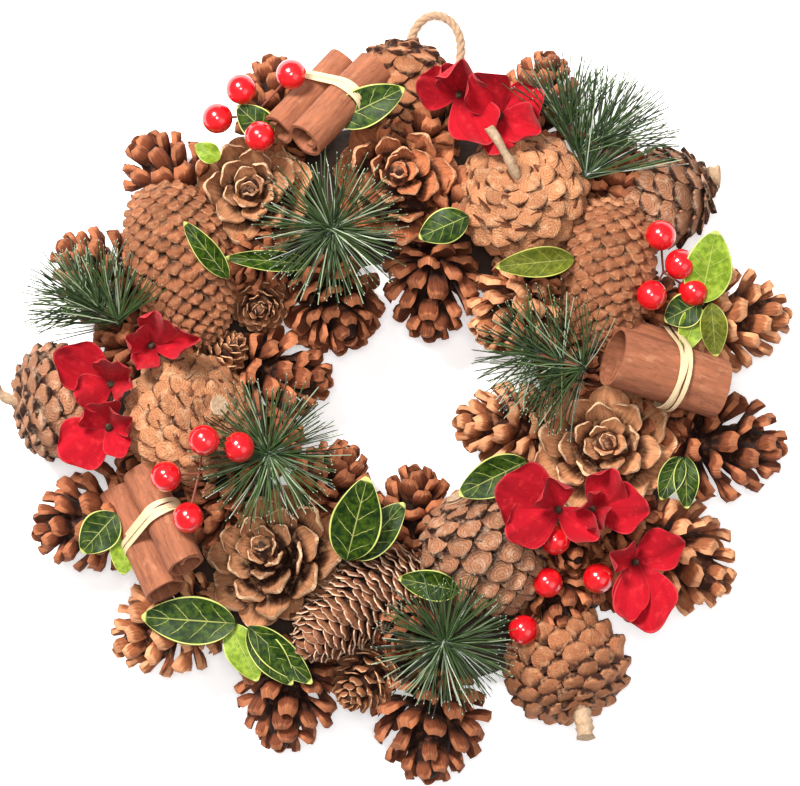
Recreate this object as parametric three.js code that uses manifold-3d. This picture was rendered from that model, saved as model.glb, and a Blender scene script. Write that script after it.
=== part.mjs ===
// Pinecone wreath, lying on its flat back. Millimetres, +Z up, +Y towards the hanging loop.
// A half-round ring carries glued-on cones, cinnamon bundles, berry picks, silk florets, needle
// sprigs and leaf sprays. Places are given in plan from the ring's centre. Each piece's height is
// found as it is when the wreath is made: it is lowered until it rests on what is already there.
import * as THREE from "three";
import { mergeVertices } from "three/addons/utils/BufferGeometryUtils.js";
import Module from "manifold-3d";

const wasm = await Module();
wasm.setup();

// ---- driving dimensions ----
const RING_RADIUS = 92; // middle of the half-round ring
const RING_HALF_WIDTH = 30;
const RING_HEIGHT = 24;
const GAP = 0.3; // glue line between pieces that touch
const LIFT_STEP = 1; // how finely a resting height is found
const FLOOR_GAP = 1; // nothing but the ring's back touches the surface
const CONE_PRESS = 0.06; // share of a cone that meshes with its neighbours' scales
const BARK_PRESS = 0.03; // the same for cinnamon
const TRIM_TOLERANCE = 0.1; // smallest detail kept where a piece is cut back
const BERRY_RADIUS = 6.3;
const BERRY_WIRE_RADIUS = 0.6;
const ROPE_RADIUS = 2;
const ROPE_HOLE_Z = 7; // the rope's two ends are glued into the ring's rim
const ROPE_HOLE_DEPTH = 12;
const PETAL_THICKNESS = 1;
const LEAF_THICKNESS = 1;
const TIE_WIDTH = 6;
const TIE_THICKNESS = 1;

// ---- finishes ----
const finish = (color, roughness) => new THREE.MeshStandardMaterial({ color, roughness, metalness: 0 });
const brownWrap = finish("#4a3526", 0.9);
const openConeWood = finish("#8a5a3c", 0.75);
const closedConeWood = finish("#b17e59", 0.8);
const darkConeWood = finish("#6b432c", 0.75);
const cinnamonBark = finish("#b06a42", 0.8);
const raffia = finish("#dcc391", 0.85);
const jute = finish("#c8a67c", 0.95);
const redLacquer = finish("#d4141c", 0.2);
const redSilk = finish("#a3101f", 0.8);
const needleGreen = finish("#25402c", 0.5);
const leafGreen = finish("#2f5a22", 0.45);

// ---- solids ----
const degrees = THREE.MathUtils.degToRad;

/** A three.js geometry as a manifold-3d solid. */
function solidOf(geometry) {
  const bare = geometry.clone();
  bare.deleteAttribute("normal");
  bare.deleteAttribute("uv");
  const merged = mergeVertices(bare, 1e-3);
  return new wasm.Manifold(
    new wasm.Mesh({
      numProp: 3,
      vertProperties: new Float32Array(merged.attributes.position.array),
      triVerts: new Uint32Array(merged.index.array),
    }),
  );
}

/** A manifold-3d solid as a three.js geometry. */
function geometryOf(solid) {
  const mesh = solid.getMesh();
  const geometry = new THREE.BufferGeometry();
  geometry.setAttribute("position", new THREE.BufferAttribute(new Float32Array(mesh.vertProperties), 3));
  geometry.setIndex(new THREE.BufferAttribute(new Uint32Array(mesh.triVerts), 1));
  geometry.computeVertexNormals();
  return geometry;
}

/** The one body of a solid that holds the most material. */
function mainBody(solid) {
  return solid.decompose().reduce((a, b) => (a.volume() > b.volume() ? a : b));
}

/** A solid with room for the glue line all round, for cutting its neighbours. */
function withGap(solid) {
  const { min, max } = solid.boundingBox();
  const middle = min.map((low, k) => (low + max[k]) / 2);
  const factor = min.map((low, k) => 1 + (2 * GAP) / (max[k] - low));
  const back = middle.map((m) => -m);
  const grown = [solid.translate(back).scale(factor).translate(middle)];
  for (const axis of [0, 1, 2]) {
    for (const side of [-GAP, GAP]) grown.push(solid.translate(min.map((_, k) => (k === axis ? side : 0))));
  }
  return wasm.Manifold.union(grown);
}

const wreath = new THREE.Group();
const placed = []; // {solid, room, box} of each piece on the wreath, in the ring's frame

function worldSolid(mesh) {
  mesh.updateWorldMatrix(true, false);
  return solidOf(mesh.geometry).transform(mesh.matrixWorld.elements);
}

function meshesOf(object) {
  const found = [];
  object.traverse((o) => o.isMesh && found.push(o));
  return found;
}

function remember(object) {
  wreath.add(object);
  for (const mesh of meshesOf(object)) {
    const solid = worldSolid(mesh);
    placed.push({ solid, room: withGap(solid), box: solid.boundingBox() });
  }
}

function neighbours(solid) {
  const { min, max } = solid.boundingBox();
  return placed.filter(({ box }) =>
    min.every((low, k) => low < box.max[k] + GAP && box.min[k] < max[k] + GAP),
  );
}

/** Cuts a mesh back where it runs into the pieces already there, and keeps its main body. */
function trim(mesh) {
  let solid = worldSolid(mesh);
  for (const { room } of neighbours(solid)) solid = solid.subtract(room);
  const toLocal = mesh.matrixWorld.clone().invert();
  const body = mainBody(solid.simplify(TRIM_TOLERANCE));
  mesh.geometry = geometryOf(body.transform(toLocal.elements));
}

/**
 * Lowers a piece until it rests on the floor or on what is there. Scales of neighbouring cones mesh
 * with each other, so a piece may be pressed in by a share of its volume, and is cut back there.
 */
function rest(object, press) {
  const solids = meshesOf(object).map(worldSolid);
  const volume = solids.reduce((sum, s) => sum + s.volume(), 0);
  let lift = FLOOR_GAP - Math.min(...solids.map((s) => s.boundingBox().min[2]));
  const shared = () =>
    solids
      .map((s) => s.translate([0, 0, lift]))
      .reduce((sum, s) => sum + neighbours(s).reduce((v, p) => v + s.intersect(p.room).volume(), 0), 0);
  while (shared() > press * volume) lift += LIFT_STEP;
  object.position.z += lift;
  for (const mesh of meshesOf(object)) trim(mesh);
  remember(object);
}

/** Puts a thin flexible piece just where it is said to be. */
function tuck(mesh) {
  trim(mesh);
  remember(mesh);
}

function named(name, geometry, material) {
  const mesh = new THREE.Mesh(geometry, material);
  mesh.name = name;
  return mesh;
}

/** Turns an object whose own +Z is its axis: the axis points to heading in plan and rises by rise. */
function aim(object, [x, y], heading, rise, z = 0) {
  object.position.set(x, y, z);
  object.rotation.set(0, degrees(90 - rise), degrees(heading), "ZYX");
  return object;
}

// ---- ring ----
// Half-round foam ring wrapped in brown tape. Its flat back is what the wreath rests on.
function ringGeometry() {
  const profile = [];
  const arcSteps = 7;
  for (let i = 0; i <= arcSteps; i++) {
    const a = (Math.PI * i) / arcSteps;
    profile.push(
      new THREE.Vector2(RING_RADIUS + RING_HALF_WIDTH * Math.cos(a), RING_HEIGHT * Math.sin(a)),
    );
  }
  profile.push(profile[0].clone());
  return new THREE.LatheGeometry(profile, 36).rotateX(Math.PI / 2);
}

// ---- hanging loop ----
// Twisted jute, both ends glued into holes in the ring's rim. It lies on the surface, past the cones.
const ROPE_FEET_X = [10, 24];
const RIM_Y = RING_RADIUS + RING_HALF_WIDTH;
const ROPE_ROUTE = [
  [10, RIM_Y - 9, 7],
  [10, RIM_Y - 2, 7],
  [9.8, RIM_Y + 5, 5.8],
  [9, RIM_Y + 11, 3.4],
  [7.8, RIM_Y + 17, 2.4],
  [6.4, RIM_Y + 24, 2.3],
  [5.6, RIM_Y + 31, 2.3],
  [6.4, RIM_Y + 38, 2.3],
  [9.6, RIM_Y + 43.6, 2.3],
  [14, RIM_Y + 46.6, 2.3],
  [19, RIM_Y + 46.6, 2.3],
  [23.6, RIM_Y + 43.8, 2.3],
  [26.8, RIM_Y + 38, 2.3],
  [27.4, RIM_Y + 31, 2.3],
  [26.6, RIM_Y + 24, 2.3],
  [25.6, RIM_Y + 17, 2.4],
  [24.8, RIM_Y + 11, 3.4],
  [24.2, RIM_Y + 5, 5.8],
  [24, RIM_Y - 2, 7],
  [24, RIM_Y - 9, 7],
];

function roundSection(radius, sides) {
  const corners = [];
  for (let i = 0; i < sides; i++) {
    const a = (2 * Math.PI * i) / sides;
    corners.push(new THREE.Vector2(radius * Math.cos(a), radius * Math.sin(a)));
  }
  return new THREE.Shape(corners);
}

function ropeGeometry() {
  const route = new THREE.CatmullRomCurve3(ROPE_ROUTE.map((p) => new THREE.Vector3(...p)));
  return new THREE.ExtrudeGeometry(roundSection(ROPE_RADIUS, 8), { steps: 26, extrudePath: route });
}

function drilledRing() {
  let ring = solidOf(ringGeometry());
  for (const x of ROPE_FEET_X) {
    const hole = new THREE.CylinderGeometry(ROPE_RADIUS + GAP, ROPE_RADIUS + GAP, 2 * ROPE_HOLE_DEPTH, 12);
    hole.translate(x, RIM_Y, ROPE_HOLE_Z);
    ring = ring.subtract(solidOf(hole));
  }
  return geometryOf(ring);
}

// ---- cones ----
// Each is turned about its own axis, base at the bottom. Open cones carry their scales in flaring
// rows; closed ones are smooth. belly is where along the length the cone is widest.
const CONE_KINDS = {
  open: { rows: 4, belly: 0.42, fullness: 0.46, notch: 0.76, sides: 9 },
  closed: { rows: 0, belly: 0.4, fullness: 0.55, notch: 1, sides: 12 },
  long: { rows: 0, belly: 0.42, fullness: 0.42, notch: 1, sides: 12 },
  spruce: { rows: 6, belly: 0.42, fullness: 0.4, notch: 0.86, sides: 10 },
  larch: { rows: 3, belly: 0.42, fullness: 0.5, notch: 0.8, sides: 8 },
};
const SMOOTH_STEPS = 7;

function coneGeometry(kind, length, width, stem = 0) {
  const { rows, belly, fullness, notch, sides } = CONE_KINDS[kind];
  const power = Math.log(0.5) / Math.log(belly);
  const radiusAt = (t) => (width / 2) * Math.sin(Math.PI * t ** power) ** fullness;
  const profile = [new THREE.Vector2(0, 0)];
  if (rows) {
    for (let k = 0; k < rows; k++) {
      const low = Math.max(0.03, k / rows);
      const high = (k + 0.62) / rows;
      profile.push(new THREE.Vector2(notch * radiusAt(low + 0.04), low * length));
      profile.push(new THREE.Vector2(radiusAt(high), high * length));
    }
  } else {
    for (let k = 1; k <= SMOOTH_STEPS; k++) {
      const t = (k - 0.35) / SMOOTH_STEPS;
      profile.push(new THREE.Vector2(radiusAt(t), t * length));
    }
  }
  profile.push(new THREE.Vector2(0, length));
  const cone = new THREE.LatheGeometry(profile, sides).rotateX(Math.PI / 2).translate(0, 0, -length / 2);
  if (!stem) return cone;
  const stalk = new THREE.CylinderGeometry(2.4, 3, stem + 6, 7).rotateX(Math.PI / 2);
  stalk.rotateX(Math.PI).translate(0, 0, -length / 2 - stem / 2 + 3);
  return geometryOf(solidOf(cone).add(solidOf(stalk)));
}

// name, kind, [x, y], heading, rise, length, width, stem; the heading is where the tip points.
const OUTER_CONES = [
  ["outer_open_cone_1", "open", [-96, 97], 130, 12, 46, 38],
  ["outer_open_cone_2", "open", [-50, 127], 102, 10, 46, 36],
  ["outer_open_cone_3", "open", [60, 129], 76, 12, 46, 34],
  ["outer_open_cone_4", "open", [142, 38], 6, 12, 50, 42],
  ["outer_open_cone_5", "open", [140, -16], -4, 22, 50, 45],
  ["outer_open_cone_6", "open", [120, -64], -33, 24, 50, 46],
  ["outer_open_cone_7", "open", [14, -135], -90, 20, 48, 46],
  ["outer_open_cone_8", "open", [-46, -122], -98, 14, 48, 42],
  ["outer_open_cone_9", "open", [-97, -92], 208, 8, 50, 42],
  ["outer_open_cone_10", "open", [-130, -48], 196, 10, 50, 42],
  ["outer_open_cone_11", "open", [-126, 57], 146, 12, 44, 38],
  ["outer_closed_cone_1", "closed", [2, 137], -90, 14, 44, 38],
  ["outer_closed_cone_2", "closed", [108, 87], 205, 8, 52, 38, 5],
  ["outer_closed_cone_3", "closed", [71, -107], 108, -30, 46, 48, 13],
  ["outer_closed_cone_4", "closed", [-143, 3], 4, -14, 44, 48, 9],
];

const INNER_CONES = [
  ["inner_open_cone_1", "open", [-26, 42], -62, 40, 40, 40],
  ["inner_open_cone_2", "open", [15, 51], -92, 12, 46, 39],
  ["inner_open_cone_3", "open", [49, 42], -136, 24, 42, 38],
  ["inner_open_cone_4", "open", [47, -8], 176, 14, 46, 36],
  ["inner_open_cone_5", "open", [8, -45], 92, 20, 42, 36],
  ["inner_open_cone_6", "open", [-50, 14], -8, 12, 46, 38],
];

const TOP_CONES = [
  ["rosette_cone_1", "open", [-61, 90], 110, 82, 36, 48],
  ["rosette_cone_2", "open", [1, 97], 80, 80, 38, 52],
  ["rosette_cone_3", "open", [87, -16], 100, 82, 40, 58],
  ["rosette_cone_4", "open", [-53, -62], 123, 68, 40, 56],
  ["round_closed_cone_1", "closed", [53, 88], -69, -64, 42, 51, 16],
  ["round_closed_cone_2", "closed", [38, -61], -61, -18, 53, 48, 3],
  ["round_closed_cone_3", "closed", [-89, -5], 202, -48, 46, 51, 2],
  ["long_closed_cone_1", "long", [-90, 60], -72, 4, 68, 38],
  ["long_closed_cone_2", "long", [88, 56], -94, 2, 61, 36],
  ["spruce_cone", "spruce", [-16, -82], 218, 12, 70, 32],
  ["larch_cone_1", "larch", [-58, 44], -80, 72, 24, 25],
  ["larch_cone_2", "larch", [-14, -115], 230, 38, 32, 27],
];

function coneMesh([name, kind, at, heading, rise, length, width, stem]) {
  const dark = name.startsWith("inner") || kind === "spruce" || kind === "larch";
  const wood = kind === "closed" || kind === "long" ? closedConeWood : dark ? darkConeWood : openConeWood;
  return aim(named(name, coneGeometry(kind, length, width, stem), wood), at, heading, rise);
}

// ---- cinnamon bundles ----
// Two rolled quills of bark side by side, tied round the middle with raffia.
function quillGeometry(radius, wall, length) {
  const openHalf = degrees(14); // half the angle of the slit where the bark's edge stops short
  const shape = new THREE.Shape();
  shape.absarc(0, 0, radius, openHalf, 2 * Math.PI - openHalf, false);
  shape.absarc(0, 0, radius - wall, 2 * Math.PI - openHalf, openHalf, true);
  shape.closePath();
  return new THREE.ExtrudeGeometry(shape, { depth: length, bevelEnabled: false, curveSegments: 8 })
    .translate(0, 0, -length / 2);
}

/** A band round two circles of radius a and b whose centres are `apart` on the x axis. */
function tieGeometry(a, b, apart) {
  const outline = (grow) => {
    const tilt = Math.acos((a - b) / apart);
    const path = new THREE.Path();
    path.absarc(-apart / 2, 0, a + grow, tilt, 2 * Math.PI - tilt, false);
    path.absarc(apart / 2, 0, b + grow, -tilt, tilt, false);
    return path.getPoints(5);
  };
  const shape = new THREE.Shape(outline(GAP + TIE_THICKNESS));
  shape.holes.push(new THREE.Path(outline(GAP)));
  return new THREE.ExtrudeGeometry(shape, { depth: TIE_WIDTH, bevelEnabled: false })
    .translate(0, 0, -TIE_WIDTH / 2);
}

// name, [x, y], heading of the quills, length, the two quill radii, where along them the tie sits,
// and how far the pair is rolled over: a positive roll lifts quill a above quill b
const BUNDLES = [
  ["cinnamon_1", [-30, 129], 48, 47, 9, 8, 4, 40],
  ["cinnamon_2", [-102, -51], -62, 50, 8, 8.8, 0, -35],
  ["cinnamon_3", [111, 20], -17, 48, 12.5, 7.5, 3, 60],
];

function bundle([name, at, heading, length, a, b, tieAt, roll]) {
  const pair = new THREE.Group();
  const apart = a + b + 2 * GAP;
  const wall = 2;
  const first = named(`${name}_quill_a`, quillGeometry(a, wall, length), cinnamonBark);
  first.position.x = -apart / 2;
  first.rotation.z = degrees(-120);
  const second = named(`${name}_quill_b`, quillGeometry(b, wall, length - 3), cinnamonBark);
  second.position.x = apart / 2;
  second.rotation.z = degrees(60);
  const tie = named(`${name}_tie`, tieGeometry(a, b, apart), raffia);
  tie.position.z = tieAt;
  pair.add(first, second, tie);
  pair.rotation.z = degrees(-roll);
  const group = new THREE.Group();
  group.add(pair);
  // The quills lie flat along the heading.
  group.rotation.set(degrees(90), 0, degrees(heading + 90), "ZYX");
  group.position.set(...at, 0);
  return group;
}

// ---- berry picks ----
// Four lacquered foam balls on wires that meet under them.
// name, [x, y] where the wires meet, then each berry's [dx, dy, height above that point]
const BERRY_PICKS = [
  ["berry_pick_1", [-60, 123], [[-5, 10, 9], [16, 16, 11], [-15, -2, 7], [3, -10, 13]]],
  ["berry_pick_2", [-82, -27], [[3, 14, 17], [17, 11, 8], [-13, -1, 10], [-4, -18, 8]]],
  ["berry_pick_3", [112, 57], [[-2, 15, 12], [6, 3, 12], [-6, -10, 14], [12, -8, 8]]],
  ["berry_pick_4", [68, -72], [[-1, 18, 14], [-5, -1, 12], [16, 1, 12], [-15, -21, 10]]],
];

/** A straight wire between two points. */
function wire(from, to, radius, sides = 4) {
  const along = new THREE.Vector3().subVectors(to, from);
  const rod = new THREE.CylinderGeometry(radius, radius, along.length(), sides);
  rod.applyQuaternion(new THREE.Quaternion().setFromUnitVectors(new THREE.Vector3(0, 1, 0), along.normalize()));
  const middle = new THREE.Vector3().addVectors(from, to).multiplyScalar(0.5);
  return rod.translate(middle.x, middle.y, middle.z);
}

function berryPick([name, at, berries]) {
  const root = new THREE.Vector3(0, 0, 0);
  let pick = solidOf(new THREE.IcosahedronGeometry(BERRY_WIRE_RADIUS * 2, 0));
  for (const berry of berries) {
    const centre = new THREE.Vector3(...berry);
    const ball = new THREE.IcosahedronGeometry(BERRY_RADIUS, 1).translate(centre.x, centre.y, centre.z);
    pick = pick.add(solidOf(ball)).add(solidOf(wire(root, centre, BERRY_WIRE_RADIUS)));
  }
  const mesh = named(name, geometryOf(pick), redLacquer);
  mesh.position.set(...at, 0);
  return mesh;
}

// ---- thin leafy pieces ----
/** A blade from the origin along +X: its half-width is widest at belly, and it cups up towards the tip. */
function bladeGeometry(length, width, thickness, cup, belly = 0.55) {
  const steps = 5;
  const power = Math.log(0.5) / Math.log(belly);
  const half = (t) => (width / 2) * Math.sin(Math.PI * t ** power) ** 0.8;
  const right = [];
  const left = [];
  for (let i = 1; i < steps; i++) {
    const t = i / steps;
    right.push(new THREE.Vector2(t * length, -half(t)));
    left.unshift(new THREE.Vector2(t * length, half(t)));
  }
  const outline = [new THREE.Vector2(0, -0.8), ...right, new THREE.Vector2(length, 0), ...left];
  outline.push(new THREE.Vector2(0, 0.8));
  const blade = new THREE.ExtrudeGeometry(new THREE.Shape(outline), { depth: thickness, bevelEnabled: false });
  const point = blade.attributes.position;
  for (let i = 0; i < point.count; i++) {
    const along = point.getX(i) / length;
    point.setZ(i, point.getZ(i) + cup * along * along);
  }
  return blade;
}

/** Blades joined at one point: each is {heading, rise, length, width, cup, from: [x, y, z]}. */
function fanOfBlades(blades, thickness, hubRadius) {
  let fan = solidOf(new THREE.CylinderGeometry(hubRadius, hubRadius, 2.4, 8).rotateX(Math.PI / 2));
  for (const { heading, rise, length, width, cup = 0, belly, from = [0, 0, 0] } of blades) {
    const blade = bladeGeometry(length, width, thickness, cup, belly).translate(0, 0, -thickness / 2);
    blade.rotateY(degrees(-rise)).rotateZ(degrees(heading)).translate(...from);
    fan = fan.add(solidOf(blade));
    if (from.some((v) => v !== 0)) {
      fan = fan.add(solidOf(wire(new THREE.Vector3(), new THREE.Vector3(...from), 1)));
    }
  }
  return geometryOf(fan);
}

// ---- silk florets ----
// Each floret is four petals on a wire; two or three florets make a pick.
// name, [x, y, z] of the first floret, then florets as {from, petals: [heading, rise, length, width]}
const FLORET_PICKS = [
  ["floret_pick_1", [26, 131, 44], [
    { from: [0, 0, 0], petals: [[78, 50, 25, 21], [-62, 12, 27, 22], [168, 16, 22, 18], [112, 26, 18, 16]] },
    { from: [17, -9, 1], petals: [[122, 24, 25, 21], [26, 10, 22, 18], [-22, 14, 20, 17], [-98, 8, 19, 16]] },
  ]],
  ["floret_pick_2", [-102, 26, 52], [
    { from: [0, 0, 0], petals: [[66, 40, 25, 17], [6, 20, 24, 13], [150, 36, 17, 13], [252, 22, 15, 12]] },
    { from: [-17, -16, -3], petals: [[148, 14, 29, 21], [82, 44, 22, 16], [204, 22, 20, 16], [-20, 30, 15, 12]] },
    { from: [-18, -34, -4], petals: [[212, 8, 25, 23], [120, 26, 17, 19], [28, 34, 17, 14], [-62, 4, 15, 12]] },
  ]],
  ["floret_pick_3", [67, -42, 55], [
    { from: [0, 0, 0], petals: [[158, 12, 31, 28], [206, 10, 27, 20], [112, 26, 18, 17], [-76, 20, 22, 16]] },
    { from: [14, 0, -2], petals: [[58, 26, 25, 18], [4, 18, 27, 21], [122, 42, 15, 14], [-54, 30, 13, 13]] },
    { from: [32, -22, -4], petals: [[28, 16, 25, 18], [-76, 8, 31, 26], [150, 32, 17, 15], [218, 0, 25, 18]] },
  ]],
];

function floretPick([name, [x, y, z], florets]) {
  const blades = florets.flatMap(({ from, petals }) =>
    petals.map(([heading, rise, length, width]) => ({ heading, rise, length, width, cup: 3, belly: 0.62, from })),
  );
  const mesh = named(name, fanOfBlades(blades, PETAL_THICKNESS, 1.6), redSilk);
  mesh.position.set(x, y, z);
  return mesh;
}

// ---- leaf sprays ----
// name, [x, y, z], then leaves as [heading, rise, length, width]
const LEAF_SPRAYS = [
  ["leaf_spray_1", [-68, -91, 40], [[172, 4, 40, 20], [-64, 8, 28, 15], [-46, 2, 36, 16]]],
  ["leaf_spray_2", [131, 43, 40], [[96, 26, 32, 21], [-128, 4, 20, 13], [-86, -4, 22, 13]]],
  ["leaf_spray_3", [-21, -64, 44], [[76, 26, 40, 21], [44, 12, 32, 16]]],
];

function leafSpray([name, [x, y, z], leaves]) {
  const blades = leaves.map(([heading, rise, length, width]) => ({ heading, rise, length, width, cup: -2 }));
  const mesh = named(name, fanOfBlades(blades, LEAF_THICKNESS, 1.4), leafGreen);
  mesh.position.set(x, y, z);
  return mesh;
}

// ---- needle sprigs ----
// A burst of needles bound to a short wire. In outline it is a star with long thin points.
/** Points of the star from heading `first` over `sweep` degrees, then drooped like a shallow dome. */
function burstGeometry(reach, count, first, sweep, droop) {
  const outline = [];
  const full = sweep >= 360;
  const step = sweep / count;
  for (let i = 0; i < count; i++) {
    const tip = degrees(first + i * step);
    const root = degrees(first + (i + 0.5) * step);
    const long = reach * (i % 2 ? 1 : 0.84);
    outline.push(new THREE.Vector2(long * Math.cos(tip), long * Math.sin(tip)));
    if (full || i < count - 1) outline.push(new THREE.Vector2(9 * Math.cos(root), 9 * Math.sin(root)));
  }
  if (!full) {
    const back = degrees(first + (sweep - step) / 2 + 180);
    outline.push(new THREE.Vector2(4 * Math.cos(back), 4 * Math.sin(back)));
  }
  const burst = new THREE.ExtrudeGeometry(new THREE.Shape(outline), { depth: 3, bevelEnabled: false });
  const point = burst.attributes.position;
  for (let i = 0; i < point.count; i++) {
    const out = Math.hypot(point.getX(i), point.getY(i)) / reach;
    point.setZ(i, point.getZ(i) * (1 - 0.6 * out) - droop * out * out);
  }
  return burst;
}

// name, [x, y, z] of the middle, reach, needles, first heading, sweep, droop, tilt heading, tilt
const SPRIGS = [
  ["needle_sprig_1", [-27, 77, 60], 32, 18, 0, 360, 6, -90, 6],
  ["needle_sprig_2", [79, 97, 46], 56, 12, 12, 116, -4, 60, 8],
  ["needle_sprig_3", [-122, 38, 45], 34, 14, 50, 190, 2, 120, 0],
  ["needle_sprig_4", [-53, -21, 57], 32, 18, 10, 360, 6, 60, -8],
  ["needle_sprig_5", [66, 18, 54], 32, 14, 60, 210, 4, 160, 4],
  ["needle_sprig_6", [20, -97, 56], 31, 18, 0, 360, 6, 0, 0],
];

function needleSprig([name, [x, y, z], reach, count, first, sweep, droop, tiltHeading, tilt]) {
  const burst = burstGeometry(reach, count, first, sweep, droop);
  const axis = new THREE.Vector3(-Math.sin(degrees(tiltHeading)), Math.cos(degrees(tiltHeading)), 0);
  burst.applyQuaternion(new THREE.Quaternion().setFromAxisAngle(axis, degrees(-tilt)));
  const mesh = named(name, burst, needleGreen);
  mesh.position.set(x, y, z);
  return mesh;
}

// ---- assembly, in the order the wreath is made ----
remember(named("base_ring", drilledRing(), brownWrap));
remember(named("hanging_loop", ropeGeometry(), jute));
for (const row of [...OUTER_CONES, ...INNER_CONES, ...TOP_CONES]) rest(coneMesh(row), CONE_PRESS);
for (const row of BUNDLES) rest(bundle(row), BARK_PRESS);
for (const row of BERRY_PICKS) rest(berryPick(row), 0);
for (const row of FLORET_PICKS) tuck(floretPick(row));
for (const row of SPRIGS) tuck(needleSprig(row));
for (const row of LEAF_SPRAYS) tuck(leafSpray(row));

// The origin is under the middle of the wreath, without its loop.
const footprint = new THREE.Box3();
for (const mesh of meshesOf(wreath)) {
  if (mesh.name !== "hanging_loop") footprint.expandByObject(mesh, true);
}
const middle = footprint.getCenter(new THREE.Vector3());
wreath.position.set(-middle.x, -middle.y, 0);

const part = new THREE.Group();
part.add(wreath);
export default part;
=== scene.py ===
# The looks of the pinecone wreath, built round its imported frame, in the order the wreath is made.
# Metres, +Z up, the wreath lying on its back with its hanging loop towards +Y.
import math
import random

import bmesh
import bpy
from mathutils import Matrix, Vector, noise


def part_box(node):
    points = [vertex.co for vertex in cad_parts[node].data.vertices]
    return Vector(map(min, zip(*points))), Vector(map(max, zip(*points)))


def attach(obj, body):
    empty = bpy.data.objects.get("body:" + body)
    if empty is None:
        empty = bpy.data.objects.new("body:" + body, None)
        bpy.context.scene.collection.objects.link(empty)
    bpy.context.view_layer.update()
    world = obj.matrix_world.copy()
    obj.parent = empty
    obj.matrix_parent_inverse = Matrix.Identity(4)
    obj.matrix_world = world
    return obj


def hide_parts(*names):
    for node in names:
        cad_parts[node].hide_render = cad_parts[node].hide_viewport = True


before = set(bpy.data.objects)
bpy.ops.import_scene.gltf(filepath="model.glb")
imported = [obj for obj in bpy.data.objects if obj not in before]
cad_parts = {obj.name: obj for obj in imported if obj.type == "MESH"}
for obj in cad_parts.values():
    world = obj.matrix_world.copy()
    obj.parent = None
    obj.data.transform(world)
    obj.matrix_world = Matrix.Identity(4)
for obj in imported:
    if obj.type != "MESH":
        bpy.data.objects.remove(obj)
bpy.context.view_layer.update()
MM = 0.001

# ---- camera ----
# Straight above the wreath, over the middle of the whole piece, which lies a little towards its
# loop from the ring's centre. A long lens from well above gives a flat view.
ring_low, ring_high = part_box("base_ring")
ring_middle = (ring_low + ring_high) / 2


def from_ring(x, y, z=0.0):
    """A point given in mm: in plan from the ring's centre, in height from the surface."""
    return Vector((ring_middle.x + x * MM, ring_middle.y + y * MM, z * MM))


VIEW_WIDTH = 0.336  # what the camera takes in at the height of the decorated face
SENSOR_WIDTH, LENS = 36, 150
camera = bpy.data.objects.new("camera", bpy.data.cameras.new("camera"))
bpy.context.scene.collection.objects.link(camera)
camera.data.sensor_width = SENSOR_WIDTH
camera.data.lens = LENS
camera.data.clip_end = 10
camera.location = from_ring(1.3, 6.3, 38) + Vector((0, 0, VIEW_WIDTH * LENS / SENSOR_WIDTH))
bpy.context.scene.camera = camera

# ---- hanging loop ----
# Natural jute rope of three plies, 4 mm thick. Both ends are glued into holes in the ring's rim,
# and the slack loop lies on the surface under the cones and out past them.
RIM_Y = 122
LOOP_ROUTE = [
    from_ring(10, RIM_Y - 9, 7),
    from_ring(10, RIM_Y - 2, 7),
    from_ring(9.8, RIM_Y + 5, 5.8),
    from_ring(9, RIM_Y + 11, 3.4),
    from_ring(7.8, RIM_Y + 17, 2.4),
    from_ring(6.4, RIM_Y + 24, 2.3),
    from_ring(5.6, RIM_Y + 31, 2.3),
    from_ring(6.4, RIM_Y + 38, 2.3),
    from_ring(9.6, RIM_Y + 43.6, 2.3),
    from_ring(14, RIM_Y + 46.6, 2.3),
    from_ring(19, RIM_Y + 46.6, 2.3),
    from_ring(23.6, RIM_Y + 43.8, 2.3),
    from_ring(26.8, RIM_Y + 38, 2.3),
    from_ring(27.4, RIM_Y + 31, 2.3),
    from_ring(26.6, RIM_Y + 24, 2.3),
    from_ring(25.6, RIM_Y + 17, 2.4),
    from_ring(24.8, RIM_Y + 11, 3.4),
    from_ring(24.2, RIM_Y + 5, 5.8),
    from_ring(24, RIM_Y - 2, 7),
    from_ring(24, RIM_Y - 9, 7),
]
ROPE_THICKNESS = 4 * MM
PLY_RADIUS = 1.08 * MM
PLY_PITCH = 11 * MM
FRAYED_FIBRES = 46


def smooth_route(points, per_span):
    """A smooth curve through the points, as a list of closer points."""
    route = []
    padded = [2 * points[0] - points[1], *points, 2 * points[-1] - points[-2]]
    for before, start, end, after in zip(padded, padded[1:], padded[2:], padded[3:]):
        for k in range(per_span):
            t = k / per_span
            route.append(
                0.5
                * (
                    2 * start
                    + (end - before) * t
                    + (2 * before - 5 * start + 4 * end - after) * t**2
                    + (3 * start - before - 3 * end + after) * t**3
                )
            )
    return route + [points[-1].copy()]


def route_frames(points):
    """At each point, a matrix whose Z runs along the route and whose X never twists about it."""
    frames = []
    across = None
    for i, point in enumerate(points):
        ahead = (points[min(i + 1, len(points) - 1)] - points[max(i - 1, 0)]).normalized()
        across = across or ahead.orthogonal()
        across = (across - ahead * across.dot(ahead)).normalized()
        turned = Matrix((across, ahead.cross(across), ahead)).transposed().to_4x4()
        frames.append(Matrix.Translation(point) @ turned)
    return frames


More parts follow.
